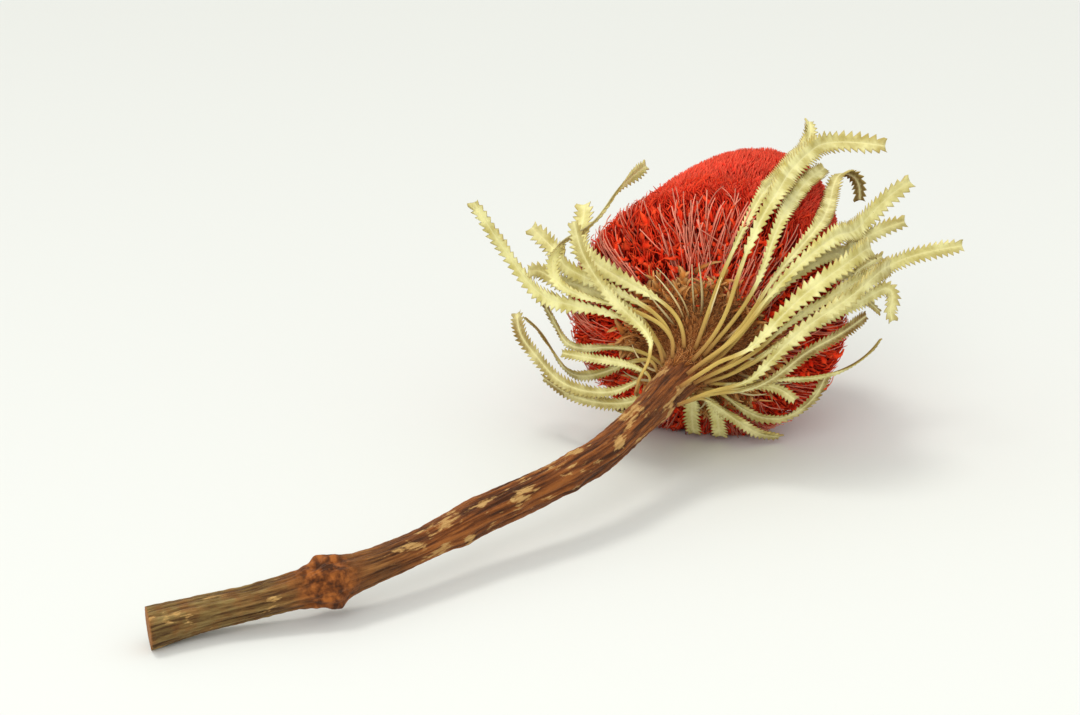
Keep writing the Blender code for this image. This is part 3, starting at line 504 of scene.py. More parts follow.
def strandMaterial(name):
    # Colour from root to tip, darker or lighter from strand to strand and in soft patches
    stops, roughness, sheen, sheenTint = strandLooks[name]
    material, tree, shader = newMaterial(name, roughness, 0.12, sheen, sheenTint)
    colour = ramp(tree, attribute(tree, "share"), *[(place, paint(code)) for place, code in stops])
    patches, _ = addMottle(tree, 90, 900)
    patches = maths(tree, "MULTIPLY", maths(tree, "SUBTRACT", patches, 0.5), 1.2)
    tone = maths(tree, "ADD", attribute(tree, "tone"), patches)
    shade = ramp(tree, tone, (0.0, grey(shadeRange[0])), (1.0, grey(shadeRange[1])))
    tree.links.new(mixed(tree, 1.0, colour, shade, "MULTIPLY"), shader.inputs["Base Color"])
    return material


# Leaf material: pale yellow-green blade with a yellow rib, tan stalk, and a dark brown back painted as the
# shade on the undersides
leafLook = {
    "face": "#fcf6b0", "faceDeep": "#c9bb5e", "back": "#7c6632", "rib": "#f6efb0", "edge": "#c4a958",
    "stalk": "#d4b860", "stalkDeep": "#a98448", "stalkFoot": "#94602c", "spot": "#8e6a30",
    "agedAndShade": "#80602c",
}


def makeLeafMaterial():
    look = {name: paint(code) for name, code in leafLook.items()}
    material, tree, shader = newMaterial("dryLeaf", 0.62, 0.2, 0.1, "#fff6c8")
    patches, specks = addMottle(tree, 160, 1400)
    cloudy = ramp(tree, patches, (0.36, grey(0.0)), (0.66, grey(0.85)))
    face = mixed(tree, cloudy, look["face"], look["faceDeep"])
    # Brown patches towards the leaf's end: partly dried brown, partly painted shade
    agedAndShade = ramp(tree, patches, (0.3, grey(0.4)), (0.6, grey(1.0)))
    agedAndShade = maths(tree, "MULTIPLY", attribute(tree, "tone"), agedAndShade)
    face = mixed(tree, agedAndShade, face, look["agedAndShade"])
    # The back's dark brown is painted shade on the leaves' undersides
    blade = mixed(tree, attribute(tree, "upper"), look["back"], face)
    for part in ("edge", "rib"):
        blade = mixed(tree, attribute(tree, part), blade, look[part])
    spots = ramp(tree, specks, (0.66, grey(0.0)), (0.74, grey(1.0)))
    blade = mixed(tree, maths(tree, "MULTIPLY", spots, 0.45), blade, look["spot"])
    stalk = mixed(tree, attribute(tree, "foot"), look["stalk"], look["stalkFoot"])
    stalk = mixed(tree, maths(tree, "MULTIPLY", patches, 0.5), stalk, look["stalkDeep"])
    colour = mixed(tree, attribute(tree, "blade"), stalk, blade)
    tree.links.new(colour, shader.inputs["Base Color"])
    # Side veins: one to each tooth, slanting forward from the rib
    uv = linkNode(tree, "ShaderNodeUVMap", {"uv_map": "UVMap"}).outputs[0]
    split = linkNode(tree, "ShaderNodeSeparateXYZ", i0=uv)
    across = maths(tree, "ABSOLUTE", maths(tree, "SUBTRACT", split.outputs[1], 0.5))
    slant = maths(tree, "MULTIPLY", across, 0.7)
    vein = maths(tree, "FRACT", maths(tree, "SUBTRACT", split.outputs[0], slant))
    ridge = maths(tree, "ABSOLUTE", maths(tree, "SUBTRACT", vein, 0.5))
    ridge = maths(tree, "MULTIPLY", maths(tree, "POWER", ridge, 2.0), 1.4)
    height = maths(tree, "ADD", ridge, maths(tree, "MULTIPLY", specks, 0.5))
    bumped(tree, shader, height, 0.5, 0.0003)
    shader.inputs["Subsurface Weight"].default_value = 0.12
    shader.inputs["Subsurface Radius"].default_value = (0.002, 0.0018, 0.0006)
    return material


# Leaves: a thin closed strip with forward-pointing teeth on a bare stalk
leafShape = {
    "thickness": 0.42, "ribDepth": 0.45, "fold": 0.16, "edgeWave": 0.35, "sag": 0.5,
    "stalkWidth": 1.25, "stalkThick": 0.95,
    "stalkShare": 0.26, "roundShare": 0.6,      # of the leaf that is stalk, of the stalk that is round
    "toothPitch": (0.31, 1.4, 2.7),             # as a share of the width, the least, the most
    "notch": 0.5, "toothLean": 0.7, "toothForward": 0.5, "toothSpread": (0.82, 1.08),
    "tipTooth": 0.75, "tipFlare": 0.12, "tipNarrow": 0.28, "tipShare": 0.08,
    "faceReach": 7.0, "facePull": 0.12,         # how near the head a leaf lies along it, and how much
    "bendSoftness": 22, "softBends": {"leaf_06": 62}, "clearance": 0.1,
}
# How brown a leaf is at its end: partly its own dried brown, partly painted shade where a leaf lies in
# shade. The others get a little at random.
agedAndShadedLeaves = {
    "leaf_05": 0.15, "leaf_06": 0.35, "leaf_07": 0.9, "leaf_08": 0.8, "leaf_09": 1.0, "leaf_10": 0.8,
    "leaf_14": 0.9, "leaf_15": 0.5, "leaf_20": 0.5, "leaf_23": 0.4, "leaf_26": 0.7, "leaf_28": 0.4,
    "leaf_29": 1.2, "leaf_30": 0.5,
}
toothPhases = np.array((0.0, 0.2, 0.5, 0.7))        # foot and tip of the teeth on either side
leafColumns = np.array((-1, -0.72, -0.4, -0.1, 0, 0.1, 0.4, 0.72, 1))
routeSteps, stalkSteps = 400, 14


def leafFrames(line, surfaceNormals, lifts):
    # Direction, face normal and width direction along the route. Close to the head the face
    # is pulled to lie along it; further out it is carried on without twist.
    along = unit(np.gradient(line, axis=0))
    pull = leafShape["facePull"] * np.exp(-(lifts / leafShape["faceReach"]) ** 2)
    normal, normals = surfaceNormals[0], []
    for direction, step in zip(along, pull[:, None] * surfaceNormals):
        normal = normal + step
        normal = normal - (normal @ direction) * direction
        normal = normal / np.linalg.norm(normal)
        normals.append(normal)
    normals = np.array(normals)
    return along, normals, np.cross(along, normals)


def softened(line, half):
    # Each point moves to the mean of its neighbours on both sides, but less so near the ends
    mean = np.stack([runningMean(column, half) for column in line.T], axis=1)
    place = np.arange(len(line))
    keep = np.clip(np.minimum(place, place[::-1]) / (1.5 * half), 0, 1)[:, None]
    return line + keep * (mean - line)


def leafPlaces(width, length):
    # Shares of the length at which the strip has a row of points: along the stalk, then at the
    # foot and the tip of each tooth
    perWidth, smallest, largest = leafShape["toothPitch"]
    toothPitch = min(max(perWidth * width, smallest), largest)
    stalkShare = leafShape["stalkShare"]
    pitches = max(6, round(length * (1 - stalkShare) / toothPitch))
    stalkPlaces = np.linspace(0, stalkShare, stalkSteps, endpoint=False)
    bladePlaces = (np.arange(pitches)[:, None] + toothPhases).ravel() / pitches
    bladePlaces = stalkShare + (1 - stalkShare) * bladePlaces
    return pitches, np.concatenate((stalkPlaces, bladePlaces, [1.0]))


def sawEdge(offset, body, blade, pitches, draw):
    # Half width along one edge: the blade's body, cut in between teeth that rise to their tips
    # over most of their pitch and drop back over the rest
    shape, lean = leafShape, leafShape["toothLean"]
    count = blade * pitches + offset
    whole = np.floor(count + 1e-6).astype(int)
    phase = count - whole
    tooth = np.where(phase < lean, phase / lean, (1 - phase) / (1 - lean))
    tooth = np.clip(tooth, 0, 1) * draw.uniform(*shape["toothSpread"], pitches + 3)[whole]
    tooth[-1] = shape["tipTooth"]
    tooth = np.where(blade > 0, tooth, 0)
    reach = np.where(blade > 0, body * (shape["notch"] + (1 - shape["notch"]) * tooth), 0)
    return np.maximum(reach, shape["stalkWidth"] / 2), tooth


def makeLeaf(name, width, roll, route, seed, material):
    # A strip carried along the route, turned by the roll. Across it each column is out by its
    # share of the edge's half width, and lifted by the fold, the edge's waves and the sag.
    # The upper face is half the thickness above that and the lower face half below, with the rib.
    draw = np.random.default_rng(seed)
    shape = leafShape
    route = np.array(route, float)
    points, normals = onTurned(overBristles, route[:, 0], route[:, 1], np.radians(route[:, 2]))
    path = smoothPath(np.column_stack((points, normals, route[:, 1])), routeSteps)
    line = softened(path[:, :3], shape["softBends"].get(name, shape["bendSoftness"]))
    length = float(lengthsAlong(line)[-1])
    pitches, places = leafPlaces(width, length)
    fields = np.concatenate((line, *leafFrames(line, path[:, 3:6], path[:, 6])), axis=1)
    fields = readOff(places, np.linspace(0, 1, len(line)), fields)
    middle, along, normal, across = (fields[:, i:i + 3] for i in (0, 3, 6, 9))
    angle = np.radians(np.interp(places, np.linspace(0, 1, len(roll)), roll))[:, None]
    face = np.cos(angle) * normal + np.sin(angle) * across
    wide = np.cos(angle) * across - np.sin(angle) * normal

    # From here on, places and columns are the two parameters of the strip
    stalkShare, roundShare = shape["stalkShare"], shape["roundShare"]
    blade = np.clip((places - stalkShare) / (1 - stalkShare), 0, 1)
    flat = np.clip((places - roundShare * stalkShare) / ((1 - roundShare) * stalkShare), 0, 1)
    nearTip = np.clip((blade - 1 + shape["tipShare"]) / shape["tipShare"], 0, 1)
    body = 0.5 * width * np.minimum(1, 0.36 + 2.0 * blade) * (1 - 0.12 * blade + 0.12 * blade**2)
    body = body * (1 - shape["tipNarrow"] * nearTip ** 2)
    edges = [sawEdge(offset, body, blade, pitches, draw) for offset in (0.0, 0.5)]
    columns = leafColumns[None, :]
    reach, tooth = (np.where(columns < 0, first[:, None], second[:, None])
                    for first, second in zip(*edges))
    places, blade, flat = places[:, None], blade[:, None], flat[:, None]
    out = columns * reach
    forward = shape["toothForward"] * tooth * np.abs(columns) ** 3 * flat
    forward[-1] += shape["tipFlare"] * np.abs(out[-1])
    mark = places * length
    wave = shape["edgeWave"] * np.abs(columns) ** 2 * flat
    wave = wave * waves(seed, 5, (mark + 30 * columns, 0.55))
    sag = shape["sag"] * flat * waves(seed + 50, 4, (mark, 0.16))
    lift = shape["fold"] * np.abs(out) * flat + wave + sag
    half = flat * shape["thickness"] / 2 * (1 - 0.5 * np.abs(columns) ** 4)
    stalkHalf = shape["stalkThick"] / 2 * np.sqrt(np.maximum(1 - columns**2, 0.06))
    half = half + (1 - flat) * (stalkHalf * (1 - 0.3 * places))
    rib = flat * shape["ribDepth"] * (1 - 0.5 * places) * np.exp(-(out / 0.45) ** 2)
    base = middle[:, None] + wide[:, None] * out[..., None] + along[:, None] * forward[..., None]
    top = base + face[:, None] * (lift + (half - 0.35 * rib))[..., None]
    bottom = base + face[:, None] * (lift + (-half - rib))[..., None]
    rings = np.concatenate((top, bottom[:, ::-1]), axis=1)
    rings[..., 2] = np.maximum(rings[..., 2], shape["clearance"])

    stations, sides = rings.shape[:2]
    quads = ringFaces(1, stations, sides)[0]
    cells = np.arange(len(leafColumns) - 1)
    first = np.stack((cells, cells + 1, sides - 2 - cells, sides - 1 - cells), axis=1)
    last = first[:, ::-1] + (stations - 1) * sides

    ones = np.ones((stations, len(leafColumns)))

    def onBothFaces(values):
        values = values * ones
        return np.concatenate((values, values[:, ::-1]), axis=1).ravel()

    # How brown the leaf is: partly dried brown, partly painted shade
    tone = agedAndShadedLeaves.get(name, float(draw.uniform(0.0, 0.3)))
    attributes = {
        "blade": onBothFaces(np.clip(2 * flat - 1, 0, 1)),
        "rib": onBothFaces(0.7 * np.exp(-(out / 0.28) ** 2)),
        "edge": onBothFaces(np.clip((np.abs(columns) - 0.8) / 0.2, 0, 1) * 0.5),
        "foot": onBothFaces(np.clip(1 - places * 9, 0, 1)),
        "upper": np.concatenate((ones, 0 * ones), axis=1).ravel(),
        "tone": onBothFaces(tone * (0.45 + 0.55 * blade) + 0.22 * blade ** 5),
    }
    uv = np.stack((onBothFaces(blade * pitches), onBothFaces(0.5 + 0.5 * columns)), axis=-1)
    addPiece(name + "_blade", rings, [quads, first, last], material, attributes, uv, (name,))


# The stem: bark in fine ridges, pale scars where leaves fell, a knob and a slanting cut.
# Places along it are counted in mm from the cut.
stemShape = {
    "pathSteps": 1200, "stations": 480, "sides": 96, "ridge": 0.22, "end": -6.4, "clearance": 0.03,
    "cutNormal": (-0.83, 0.55, -0.05), "cutDepth": 1.8,
    "cutReach": 14, "cutProbes": 300,               # how far along the stem the cut is looked for
    "cutRings": (0.04, 0.25, 0.5, 0.75),            # of the cut face, as shares of its edge
    "knob": (49, 7), "peeled": (168, 9, 0.45),      # place, half length, strength
    "oldBark": (25, 55),                            # where grey bark starts to fade, over what length
    "grainRadius": 4.8,
    "scars": (                                      # place, turn in degrees, height, half length
        (13, -60, 0.5, 4), (34, 70, 0.5, 4), (50, -120, 0.9, 3), (58, 100, 0.7, 4),
        (72, -20, 0.5, 5), (93, -110, 0.8, 3), (101, 60, 0.6, 5), (112, -45, 1.1, 3),
        (124, 150, 0.6, 4), (133, -95, 0.9, 3), (139, 20, 0.6, 4), (152, -60, 0.7, 4),
        (163, 120, 0.6, 4), (170, 0, 0.7, 3), (181, -110, 0.7, 4), (190, 50, 0.6, 4)),
}
barkLook = {
    "bark": "#78411a", "barkDeep": "#482610", "barkLight": "#9c5c28", "grey": "#7c6236",
    "greyDeep": "#50381c", "greyLight": "#9a8450", "knob": "#a8622a", "scar": "#d2a868",
    "peeled": "#b07e40", "wood": "#b9804c", "woodDeep": "#8e5a30",
}


def makeBarkMaterial():
    look = {name: paint(code) for name, code in barkLook.items()}
    material, tree, shader = newMaterial("bark", 0.9, 0.25, 0.1, "#ffe2c8")
    patches, specks = addMottle(tree, 260, 2200)
    place = linkNode(tree, "ShaderNodeAttribute", {"attribute_name": "barkPlace"}).outputs["Vector"]
    # Long fibres over broad streaks, darker in the furrows
    fibre = noise(tree, place, 0.9, 6.0, 0.65, (0.16, 1.5, 1.5))
    streaks = maths(tree, "MULTIPLY_ADD", noise(tree, place, 0.8, 3.0, 0.5, (0.05, 0.35, 0.35)), 0.6, -0.3)
    tone = maths(tree, "ADD", fibre, streaks)
    tone = maths(tree, "MULTIPLY_ADD", attribute(tree, "relief"), 0.16, tone)
    colour = ramp(tree, tone, (0.3, look["barkDeep"]), (0.5, look["bark"]), (0.7, look["barkLight"]))
    oldBark = ramp(tree, tone, (0.3, look["greyDeep"]), (0.5, look["grey"]), (0.75, look["greyLight"]))
    patchy = ramp(tree, patches, (0.35, grey(0.5)), (0.55, grey(1.0)))
    colour = mixed(tree, maths(tree, "MULTIPLY", attribute(tree, "old"), patchy), colour, oldBark)
    lumps = noise(tree, place, 0.55, 3.0)
    knob = ramp(tree, lumps, (0.38, look["barkDeep"]), (0.5, look["bark"]), (0.66, look["knob"]))
    colour = mixed(tree, attribute(tree, "knob"), colour, knob)
    # Peeled patches: a coarse noise over the bark, more of it where leaves fell
    flake = noise(tree, place, 1.0, 5.0, 0.6, (0.1, 0.34, 0.34))
    peel = maths(tree, "MULTIPLY_ADD", attribute(tree, "scar"), 0.12, flake)
    peel = maths(tree, "MULTIPLY_ADD", fibre, 0.3, peel)
    peel = maths(tree, "MULTIPLY_ADD", attribute(tree, "knob"), -0.3, peel)
    peel = ramp(tree, peel, (0.735, grey(0.0)), (0.8, grey(0.9)))
    under = ramp(tree, fibre, (0.35, look["peeled"]), (0.6, look["scar"]))
    colour = mixed(tree, peel, colour, under)
    wood = mixed(tree, specks, look["wood"], look["woodDeep"])
    colour = mixed(tree, attribute(tree, "cut"), colour, wood)
    tree.links.new(colour, shader.inputs["Base Color"])
    height = maths(tree, "MULTIPLY_ADD", specks, 0.25, fibre)
    height = maths(tree, "MULTIPLY_ADD", peel, -0.25, height)
    bumped(tree, shader, height, 0.9, 0.0009)
    return material


def makeStem():
    shape = stemShape
    line = smoothPath(stemRoute, shape["pathSteps"])
    centre, radius = line[:, :3], line[:, 3]
    distance = lengthsAlong(centre)
    along = unit(np.gradient(centre, axis=0))
    outward = unit(upward - (along @ upward)[:, None] * along)
    across = np.cross(along, outward)
    knobPlace, knobHalf = shape["knob"]
    peeledPlace, peeledHalf, peeledStrength = shape["peeled"]

    def tube(at, turns):
        # Point on the bark at a distance along the stem and a turn round it, with how much of a
        # scar and of the knob is there, and the relief. Each scar is a bump with a dent in it.
        mid, out, side = (readOff(at, distance, field) for field in (centre, outward, across))
        ray = np.cos(turns)[..., None] * out + np.sin(turns)[..., None] * side
        knob = np.exp(-((at - knobPlace) / knobHalf) ** 2)
        rise = shape["ridge"] * waves(5, 10, (turns, 4), (at, 0.16))
        relief = 0.6 * waves(6, 18, (turns, 16), (at, 0.16))
        relief = relief + 0.6 * waves(7, 22, (turns, 34), (at, 0.3))
        rise += 0.24 * relief + 0.06 * waves(9, 18, (turns, 30), (at, 2.0))
        lumps = 0.5 * waves(8, 12, (turns, 7), (at, 0.9))
        rise += knob * (lumps + 0.26 * waves(10, 16, (turns, 16), (at, 2.2)))
        scar = peeledStrength * np.exp(-((at - peeledPlace) / peeledHalf) ** 2)
        for place, scarTurn, height, halfLength in shape["scars"]:
            gap = np.mod(turns + math.radians(scarTurn) + math.pi, math.tau) - math.pi
            past = (at - place) / halfLength
            bump = np.exp(-(gap / 0.6) ** 2 - past ** 2)
            rise += height * bump * (1 - 0.5 * np.exp(-(gap / 0.3) ** 2 - (past / 0.45) ** 2))
            scar = np.maximum(scar, np.clip((bump - 0.45) * 3.5, 0, 1))
        size = np.interp(at, distance, radius) + rise
        return mid + size[..., None] * ray, scar, np.clip(knob * 1.3, 0, 1), relief

    # Each line of points starts on the slanting cut
    turn = np.arange(shape["sides"]) * math.tau / shape["sides"]
    normal = unit(np.array(shape["cutNormal"]))
    probe = np.linspace(0, shape["cutReach"], shape["cutProbes"])
    spots = tube(*np.broadcast_arrays(probe[:, None], turn))[0]
    past = (spots - (centre[0] - normal * shape["cutDepth"])) @ normal
    start = probe[np.argmax(past < 0, axis=0)]
    endPlane = collar + axis * shape["end"]
    end = np.interp(0.0, (centre - endPlane) @ axis, distance)
    share = np.linspace(0, 1, shape["stations"])[:, None]
    at = start + (end - start) * share
    turns = np.broadcast_to(turn, at.shape)
    rings, scar, knob, relief, at, turns = (field[:, ::-1] for field in (*tube(at, turns), at, turns))
    rings[..., 2] = np.maximum(rings[..., 2], shape["clearance"])

    # The cut face: rings drawn in to its middle, with the grain as low waves
    middle = rings[0].mean(axis=0)
    inner = np.array(shape["cutRings"])[:, None, None]
    flatFace = middle + (rings[0] - middle) * inner
    grain = 0.12 * np.sin(at[0] * 9)[None, :] * inner[..., 0]
    rings = np.concatenate((flatFace - normal * grain[..., None], rings))

    blank = np.zeros((len(inner), shape["sides"]))
    cut = np.concatenate((blank + 1, np.broadcast_to(share == 0, scar.shape)))
    scar, knob, relief = (np.concatenate((blank, field)) for field in (scar, knob, relief))
    at, turns = (np.concatenate((blank + field[:1], field)) for field in (at, turns))
    fadeStart, fadeLength = shape["oldBark"]
    old = np.clip(1 - (at - fadeStart) / fadeLength, 0, 1) * (1 - knob)
    grainRadius = shape["grainRadius"]
    place = np.stack((at, grainRadius * np.cos(turns), grainRadius * np.sin(turns)), axis=-1)
    attributes = {"scar": scar, "knob": knob, "cut": cut, "old": old, "relief": relief}
    attributes = {key: values.ravel() for key, values in attributes.items()}
    attributes["barkPlace"] = place.reshape(-1, 3)
    addPiece("stem_bark", rings, ringFaces(1, *rings.shape[:2]), makeBarkMaterial(), attributes,
             nodes=("stem",))


# The base: brown felt with papery bracts round its edge, and fuzz that also covers the leaf feet
baseShape = {
    "outline": (
        (-6.0, 1.0), (-6.0, 6.6), (-3.0, 8.0), (0.0, 10.3), (2.5, 13.6), (4.2, 16.6), (5.6, 19.8),
        (7.0, 22.8), (8.0, 23.2), (8.25, 22.0), (6.6, 16.2), (6.6, 1.0)),
    "softness": 6,
    "felt": {
        "rows": 90, "sides": 150, "lift": -0.3, "lumps": 0.3, "clearance": 0.1,
        "seed": 31, "waves": 16, "turnRate": 9, "alongRate": 1.1},
    "bracts": {
        "count": 260, "first": 8.0, "reach": 7.5, "length": (2.5, 6.0), "curl": (0.2, 1.8),
        "width": (0.5, 1.5), "widths": (0.8, 1.0, 0.8, 0.9, 0.6, 0.45, 0.1),
        "thicknesses": (0.3, 0.22, 0.18, 0.15, 0.13, 0.1, 0.08)},
    "straps": {
        "count": 18, "stations": 14, "start": (-3, 5), "length": (12, 20), "arch": (1.5, 4.0),
        "archShare": (0.6, 0.95), "width": (0.35, 0.6), "thickness": 0.12},
    "hairs": {
        "count": 4200, "first": 5.6, "reach": 22.5, "footCount": 1100, "footStart": (-16.0, -4.0),
        "length": (1.6, 4.0), "rise": (0.25, 0.75), "widths": (0.12, 0.11, 0.09, 0.03)},
}


def makeFeltMaterial():
    material, tree, shader = newMaterial("felt", 0.95, 0.1, 0.4, "#d8a878")
    patches, specks = addMottle(tree, 300, 2600)
    colour = ramp(tree, patches, (0.3, paint("#62361a")), (0.5, paint("#a06030")), (0.7, paint("#c8874a")))
    shade = ramp(tree, specks, (0.3, grey(0.4)), (0.7, grey(1.3)))
    colour = mixed(tree, 0.5, colour, shade, "MULTIPLY")
    tree.links.new(colour, shader.inputs["Base Color"])
    bumped(tree, shader, specks, 0.8, 0.0008)
    return material


def makeBracts(draw):
    # Papery bracts in ragged whorls near the edge: each lies along the felt, then its tip curls up
    shape = baseShape["bracts"]
    count = shape["count"]
    start = shape["first"] + shape["reach"] * (np.arange(count) + 0.5) / count + draw.normal(0, 0.8, count)
    turns = np.arange(count) * goldenTurn + draw.normal(0, 0.2, count)
    start, turns = start[:, None], turns[:, None]
    length = draw.uniform(*shape["length"], count)[:, None]
    curl = draw.uniform(*shape["curl"], count)[:, None]
    sway = draw.normal(0, 0.12, count)[:, None]
    share = np.linspace(0, 1, len(shape["widths"]))
    lift = curl * share**2 + 0.25 * np.sin(6 * share + turns * 3) - 0.4
    paths, facing = onTurned(overBristles, start + length * share, lift, turns + sway * share**1.5)
    facing = facing + draw.normal(0, 0.4, (count, 1, 3))
    wide = draw.uniform(*shape["width"], count)[:, None] * np.array(shape["widths"])
    thin = np.broadcast_to(np.array(shape["thicknesses"]), wide.shape)
    strandPiece("base_bracts", paths, wide, thin, facing, 4, strandMaterial("bract"), draw)


def makeStraps(draw):
    # A few long narrow straps that arch out of the felt between the leaf stalks
    shape = baseShape["straps"]
    count = shape["count"]
    start = draw.uniform(*shape["start"], count)[:, None]
    turns = draw.uniform(0, math.tau, count)[:, None]
    length = draw.uniform(*shape["length"], count)[:, None]
    arch = draw.uniform(*shape["arch"], count)[:, None]
    share = np.linspace(0, 1, shape["stations"])
    lift = arch * np.sin(share * math.pi * draw.uniform(*shape["archShare"], count)[:, None])
    turns = turns + draw.normal(0, 0.25, count)[:, None] * share**1.5
    paths, facing = onTurned(overBristles, start + length * share, lift - 0.2 * (1 - share), turns)
    facing = facing + draw.normal(0, 0.5, (count, 1, 3))
    wide = draw.uniform(*shape["width"], count)[:, None] * (1 - 0.85 * share**3)
    thin = np.full_like(wide, shape["thickness"])
    strandPiece("base_straps", paths, wide, thin, facing, 6, strandMaterial("strap"), draw)


def makeHairs(draw, tables):
    # Fuzz: short hairs that lean forward, on the felt and round the leaf feet on the stem's end
    shape = baseShape["hairs"]
    count = shape["count"]
    start = shape["first"] + shape["reach"] * np.sqrt(draw.uniform(0, 1, count))
    start = np.concatenate((start, draw.uniform(*shape["footStart"], shape["footCount"])))[:, None]
    total = len(start)
    turns = draw.uniform(0, math.tau, total)[:, None]
    share = np.linspace(0, 1, len(shape["widths"]))
    sway = draw.normal(0, 0.8, (total, 1)) / np.where(start > 0, 1.0, 0.5)
    length = draw.uniform(*shape["length"], total)[:, None]
    lift = length * share * draw.uniform(*shape["rise"], total)[:, None] - 0.2
    reach = start + length * share * 0.7
    bend = sway * share**1.5
    onFelt = onTurned(tables, reach[:count], lift[:count], turns[:count] + bend[:count] * 0.09)
    onFoot = onTurned(overBristles, reach[count:], lift[count:] - 0.3, turns[count:] + bend[count:] * 0.12)
    paths, facing = (np.concatenate(pair) for pair in zip(onFelt, onFoot))
    wide = np.array(shape["widths"]) * np.ones((total, 1))
    strandPiece("base_hairs", paths, wide, wide, facing, 3, strandMaterial("feltHair"), draw)


def makeBase():
    tables = turnedTables(baseShape["outline"], baseShape["softness"])
    skinPiece("base_felt", tables, baseShape["felt"], makeFeltMaterial(), "cone_base")
    draw = np.random.default_rng(41)
    makeBracts(draw)
    makeStraps(draw)
    makeHairs(draw, tables)


# The head: a dark heart painted as the shade deep among the florets, velvety closed florets on the dome,
# open florets and styles below.
# Places are in mm along the heart, and widths along a strand are shares of its own.
headShape = {
    "heart": {
        "rows": 90, "sides": 120, "lift": -0.6, "lumps": 0.3, "clearance": 0.1,
        "seed": 71, "waves": 12, "turnRate": 30, "alongRate": 1.5},
    "velvet": {
        "count": 24000, "from": 54.0, "length": (1.6, 2.6), "height": (0.9, 1.6),
        "width": (0.22, 0.34), "widths": (1.0, 0.3)},
    "open": {
        "count": 5800, "zone": (10.0, 62.0), "length": (4.0, 9.0), "height": (0.9, 2.6),
        "width": (0.14, 0.26), "widths": (1.0, 1.0, 0.9, 0.8, 0.6, 0.25)},
    "flakes": {
        "count": 1100, "zone": (10.0, 38.0), "length": (2.5, 8.0), "height": (1.4, 2.8),
        "width": (0.45, 1.8), "widths": (0.3, 0.7, 1.0, 1.0, 0.9, 0.6, 0.2), "thickness": 0.1},
    "styles": {
        "count": 480, "clumps": 54, "place": (19, 8), "clumpSpread": 3, "zone": (8, 42),
        "length": (14, 28), "height": (2.2, 3.2), "width": (0.15, 0.25), "stations": 12},
}


def spread(count, low, high, draw, jitter, even=1.0):
    # Golden-angle rows between two distances along the heart, evenly dense over its area
    table, _, radius = heart[:3]
    inside = (table >= low) & (table <= high)
    area = np.cumsum(radius[inside] ** even)
    area = (area - area[0]) / (area[-1] - area[0])
    place = np.interp((np.arange(count) + 0.5) / count, area, table[inside])
    turn = np.arange(count) * goldenTurn
    place = place + draw.normal(0, jitter, count)
    turn = turn + draw.normal(0, jitter, count) / np.maximum(np.interp(place, table, radius), 2)
    return np.clip(place, low, high), turn


def creepStrands(place, turn, length, aside, height, flick, wiggle, stations):
    # Strands rooted in the heart that follow its surface, turned aside from the way to the tip by
    # an angle: each climbs to its height along a quarter sine, its end flicks up with the cube of
    # the share, and it wiggles sideways
    share = np.linspace(0, 1, stations)
    values = (place, turn, length, aside, height, flick, wiggle)
    place, turn, length, aside, height, flick, wiggle = (
        np.broadcast_to(value, place.shape)[:, None] for value in values)
    along = place + length * np.cos(aside) * share
    lift = -0.8 + (height + 0.8) * np.sin(share * math.pi / 2) + flick * share**3
    radius = np.maximum(np.interp(along, heart[0], heart[2]), 4)
    side = length * np.sin(aside) * share + wiggle * np.sin(share * 5 + place * 7)
    return onTurned(heart, along, lift, turn + side / radius)


def makeVelvet(draw):
    # Short thick-set points lying towards the tip, which part into soft tufts
    shape = headShape["velvet"]
    count, total = shape["count"], heart[0][-1]
    place, turn = spread(count, shape["from"], total - 0.2, draw, 0.35)
    length = np.minimum(draw.uniform(*shape["length"], count), total - place + 1.0)
    aside = 0.45 * waves(82, 14, (turn, 16), (place, 0.35)) + draw.normal(0, 0.3, count)
    height = draw.uniform(*shape["height"], count) + 0.2 * waves(83, 14, (turn, 20), (place, 0.5))
    paths, facing = creepStrands(place, turn, length, aside, height, 0.0, 0.0, len(shape["widths"]))
    wide = draw.uniform(*shape["width"], count)[:, None] * np.array(shape["widths"])
    strandPiece("head_dome", paths, wide, wide, facing, 3, strandMaterial("domeVelvet"), draw)


def makeOpenFlorets(draw):
    # Fine threads lying forward along the head, ruffled and bent
    shape = headShape["open"]
    count = shape["count"]
    place, turn = spread(count, *shape["zone"], draw, 0.6)
    aside = 0.4 * waves(84, 12, (turn, 12), (place, 0.3)) + draw.normal(0, 0.35, count)
    length, height = draw.uniform(*shape["length"], count), draw.uniform(*shape["height"], count)
    flick, wiggle = draw.normal(0.1, 0.5, count), draw.normal(0, 0.35, count)
    paths, facing = creepStrands(place, turn, length, aside, height, flick, wiggle, len(shape["widths"]))
    wide = draw.uniform(*shape["width"], count)[:, None] * np.array(shape["widths"])
    strandPiece("head_open_florets", paths, wide * 1.3, wide * 0.8, facing, 3,
                strandMaterial("openFloret"), draw)


def makeFlakes(draw):
    # Crumpled flat flakes of withered florets, pointing every way, most of them below the rim
    shape = headShape["flakes"]
    count, stations = shape["count"], len(shape["widths"])
    place, turn = spread(count, *shape["zone"], draw, 1.5, even=0.2)
    length, aside = draw.uniform(*shape["length"], count), draw.normal(0, 0.9, count)
    height = draw.uniform(*shape["height"], count)
    flick, wiggle = np.minimum(draw.normal(0, 0.9, count), 0.6), draw.normal(0, 0.7, count)
    paths, facing = creepStrands(place, turn, length, aside, height, flick, wiggle, stations)
    paths = paths + draw.normal(0, 0.22, paths.shape)
    wide = draw.uniform(*shape["width"], count)[:, None] * draw.uniform(0.4, 1.0, (count, stations))
    wide = wide * np.array(shape["widths"])
    facing = facing + draw.normal(0, 0.7, facing.shape)
    thin = np.full_like(wide, shape["thickness"])
    strandPiece("head_flakes", paths, wide, thin, facing, 4, strandMaterial("floretFlake"), draw)


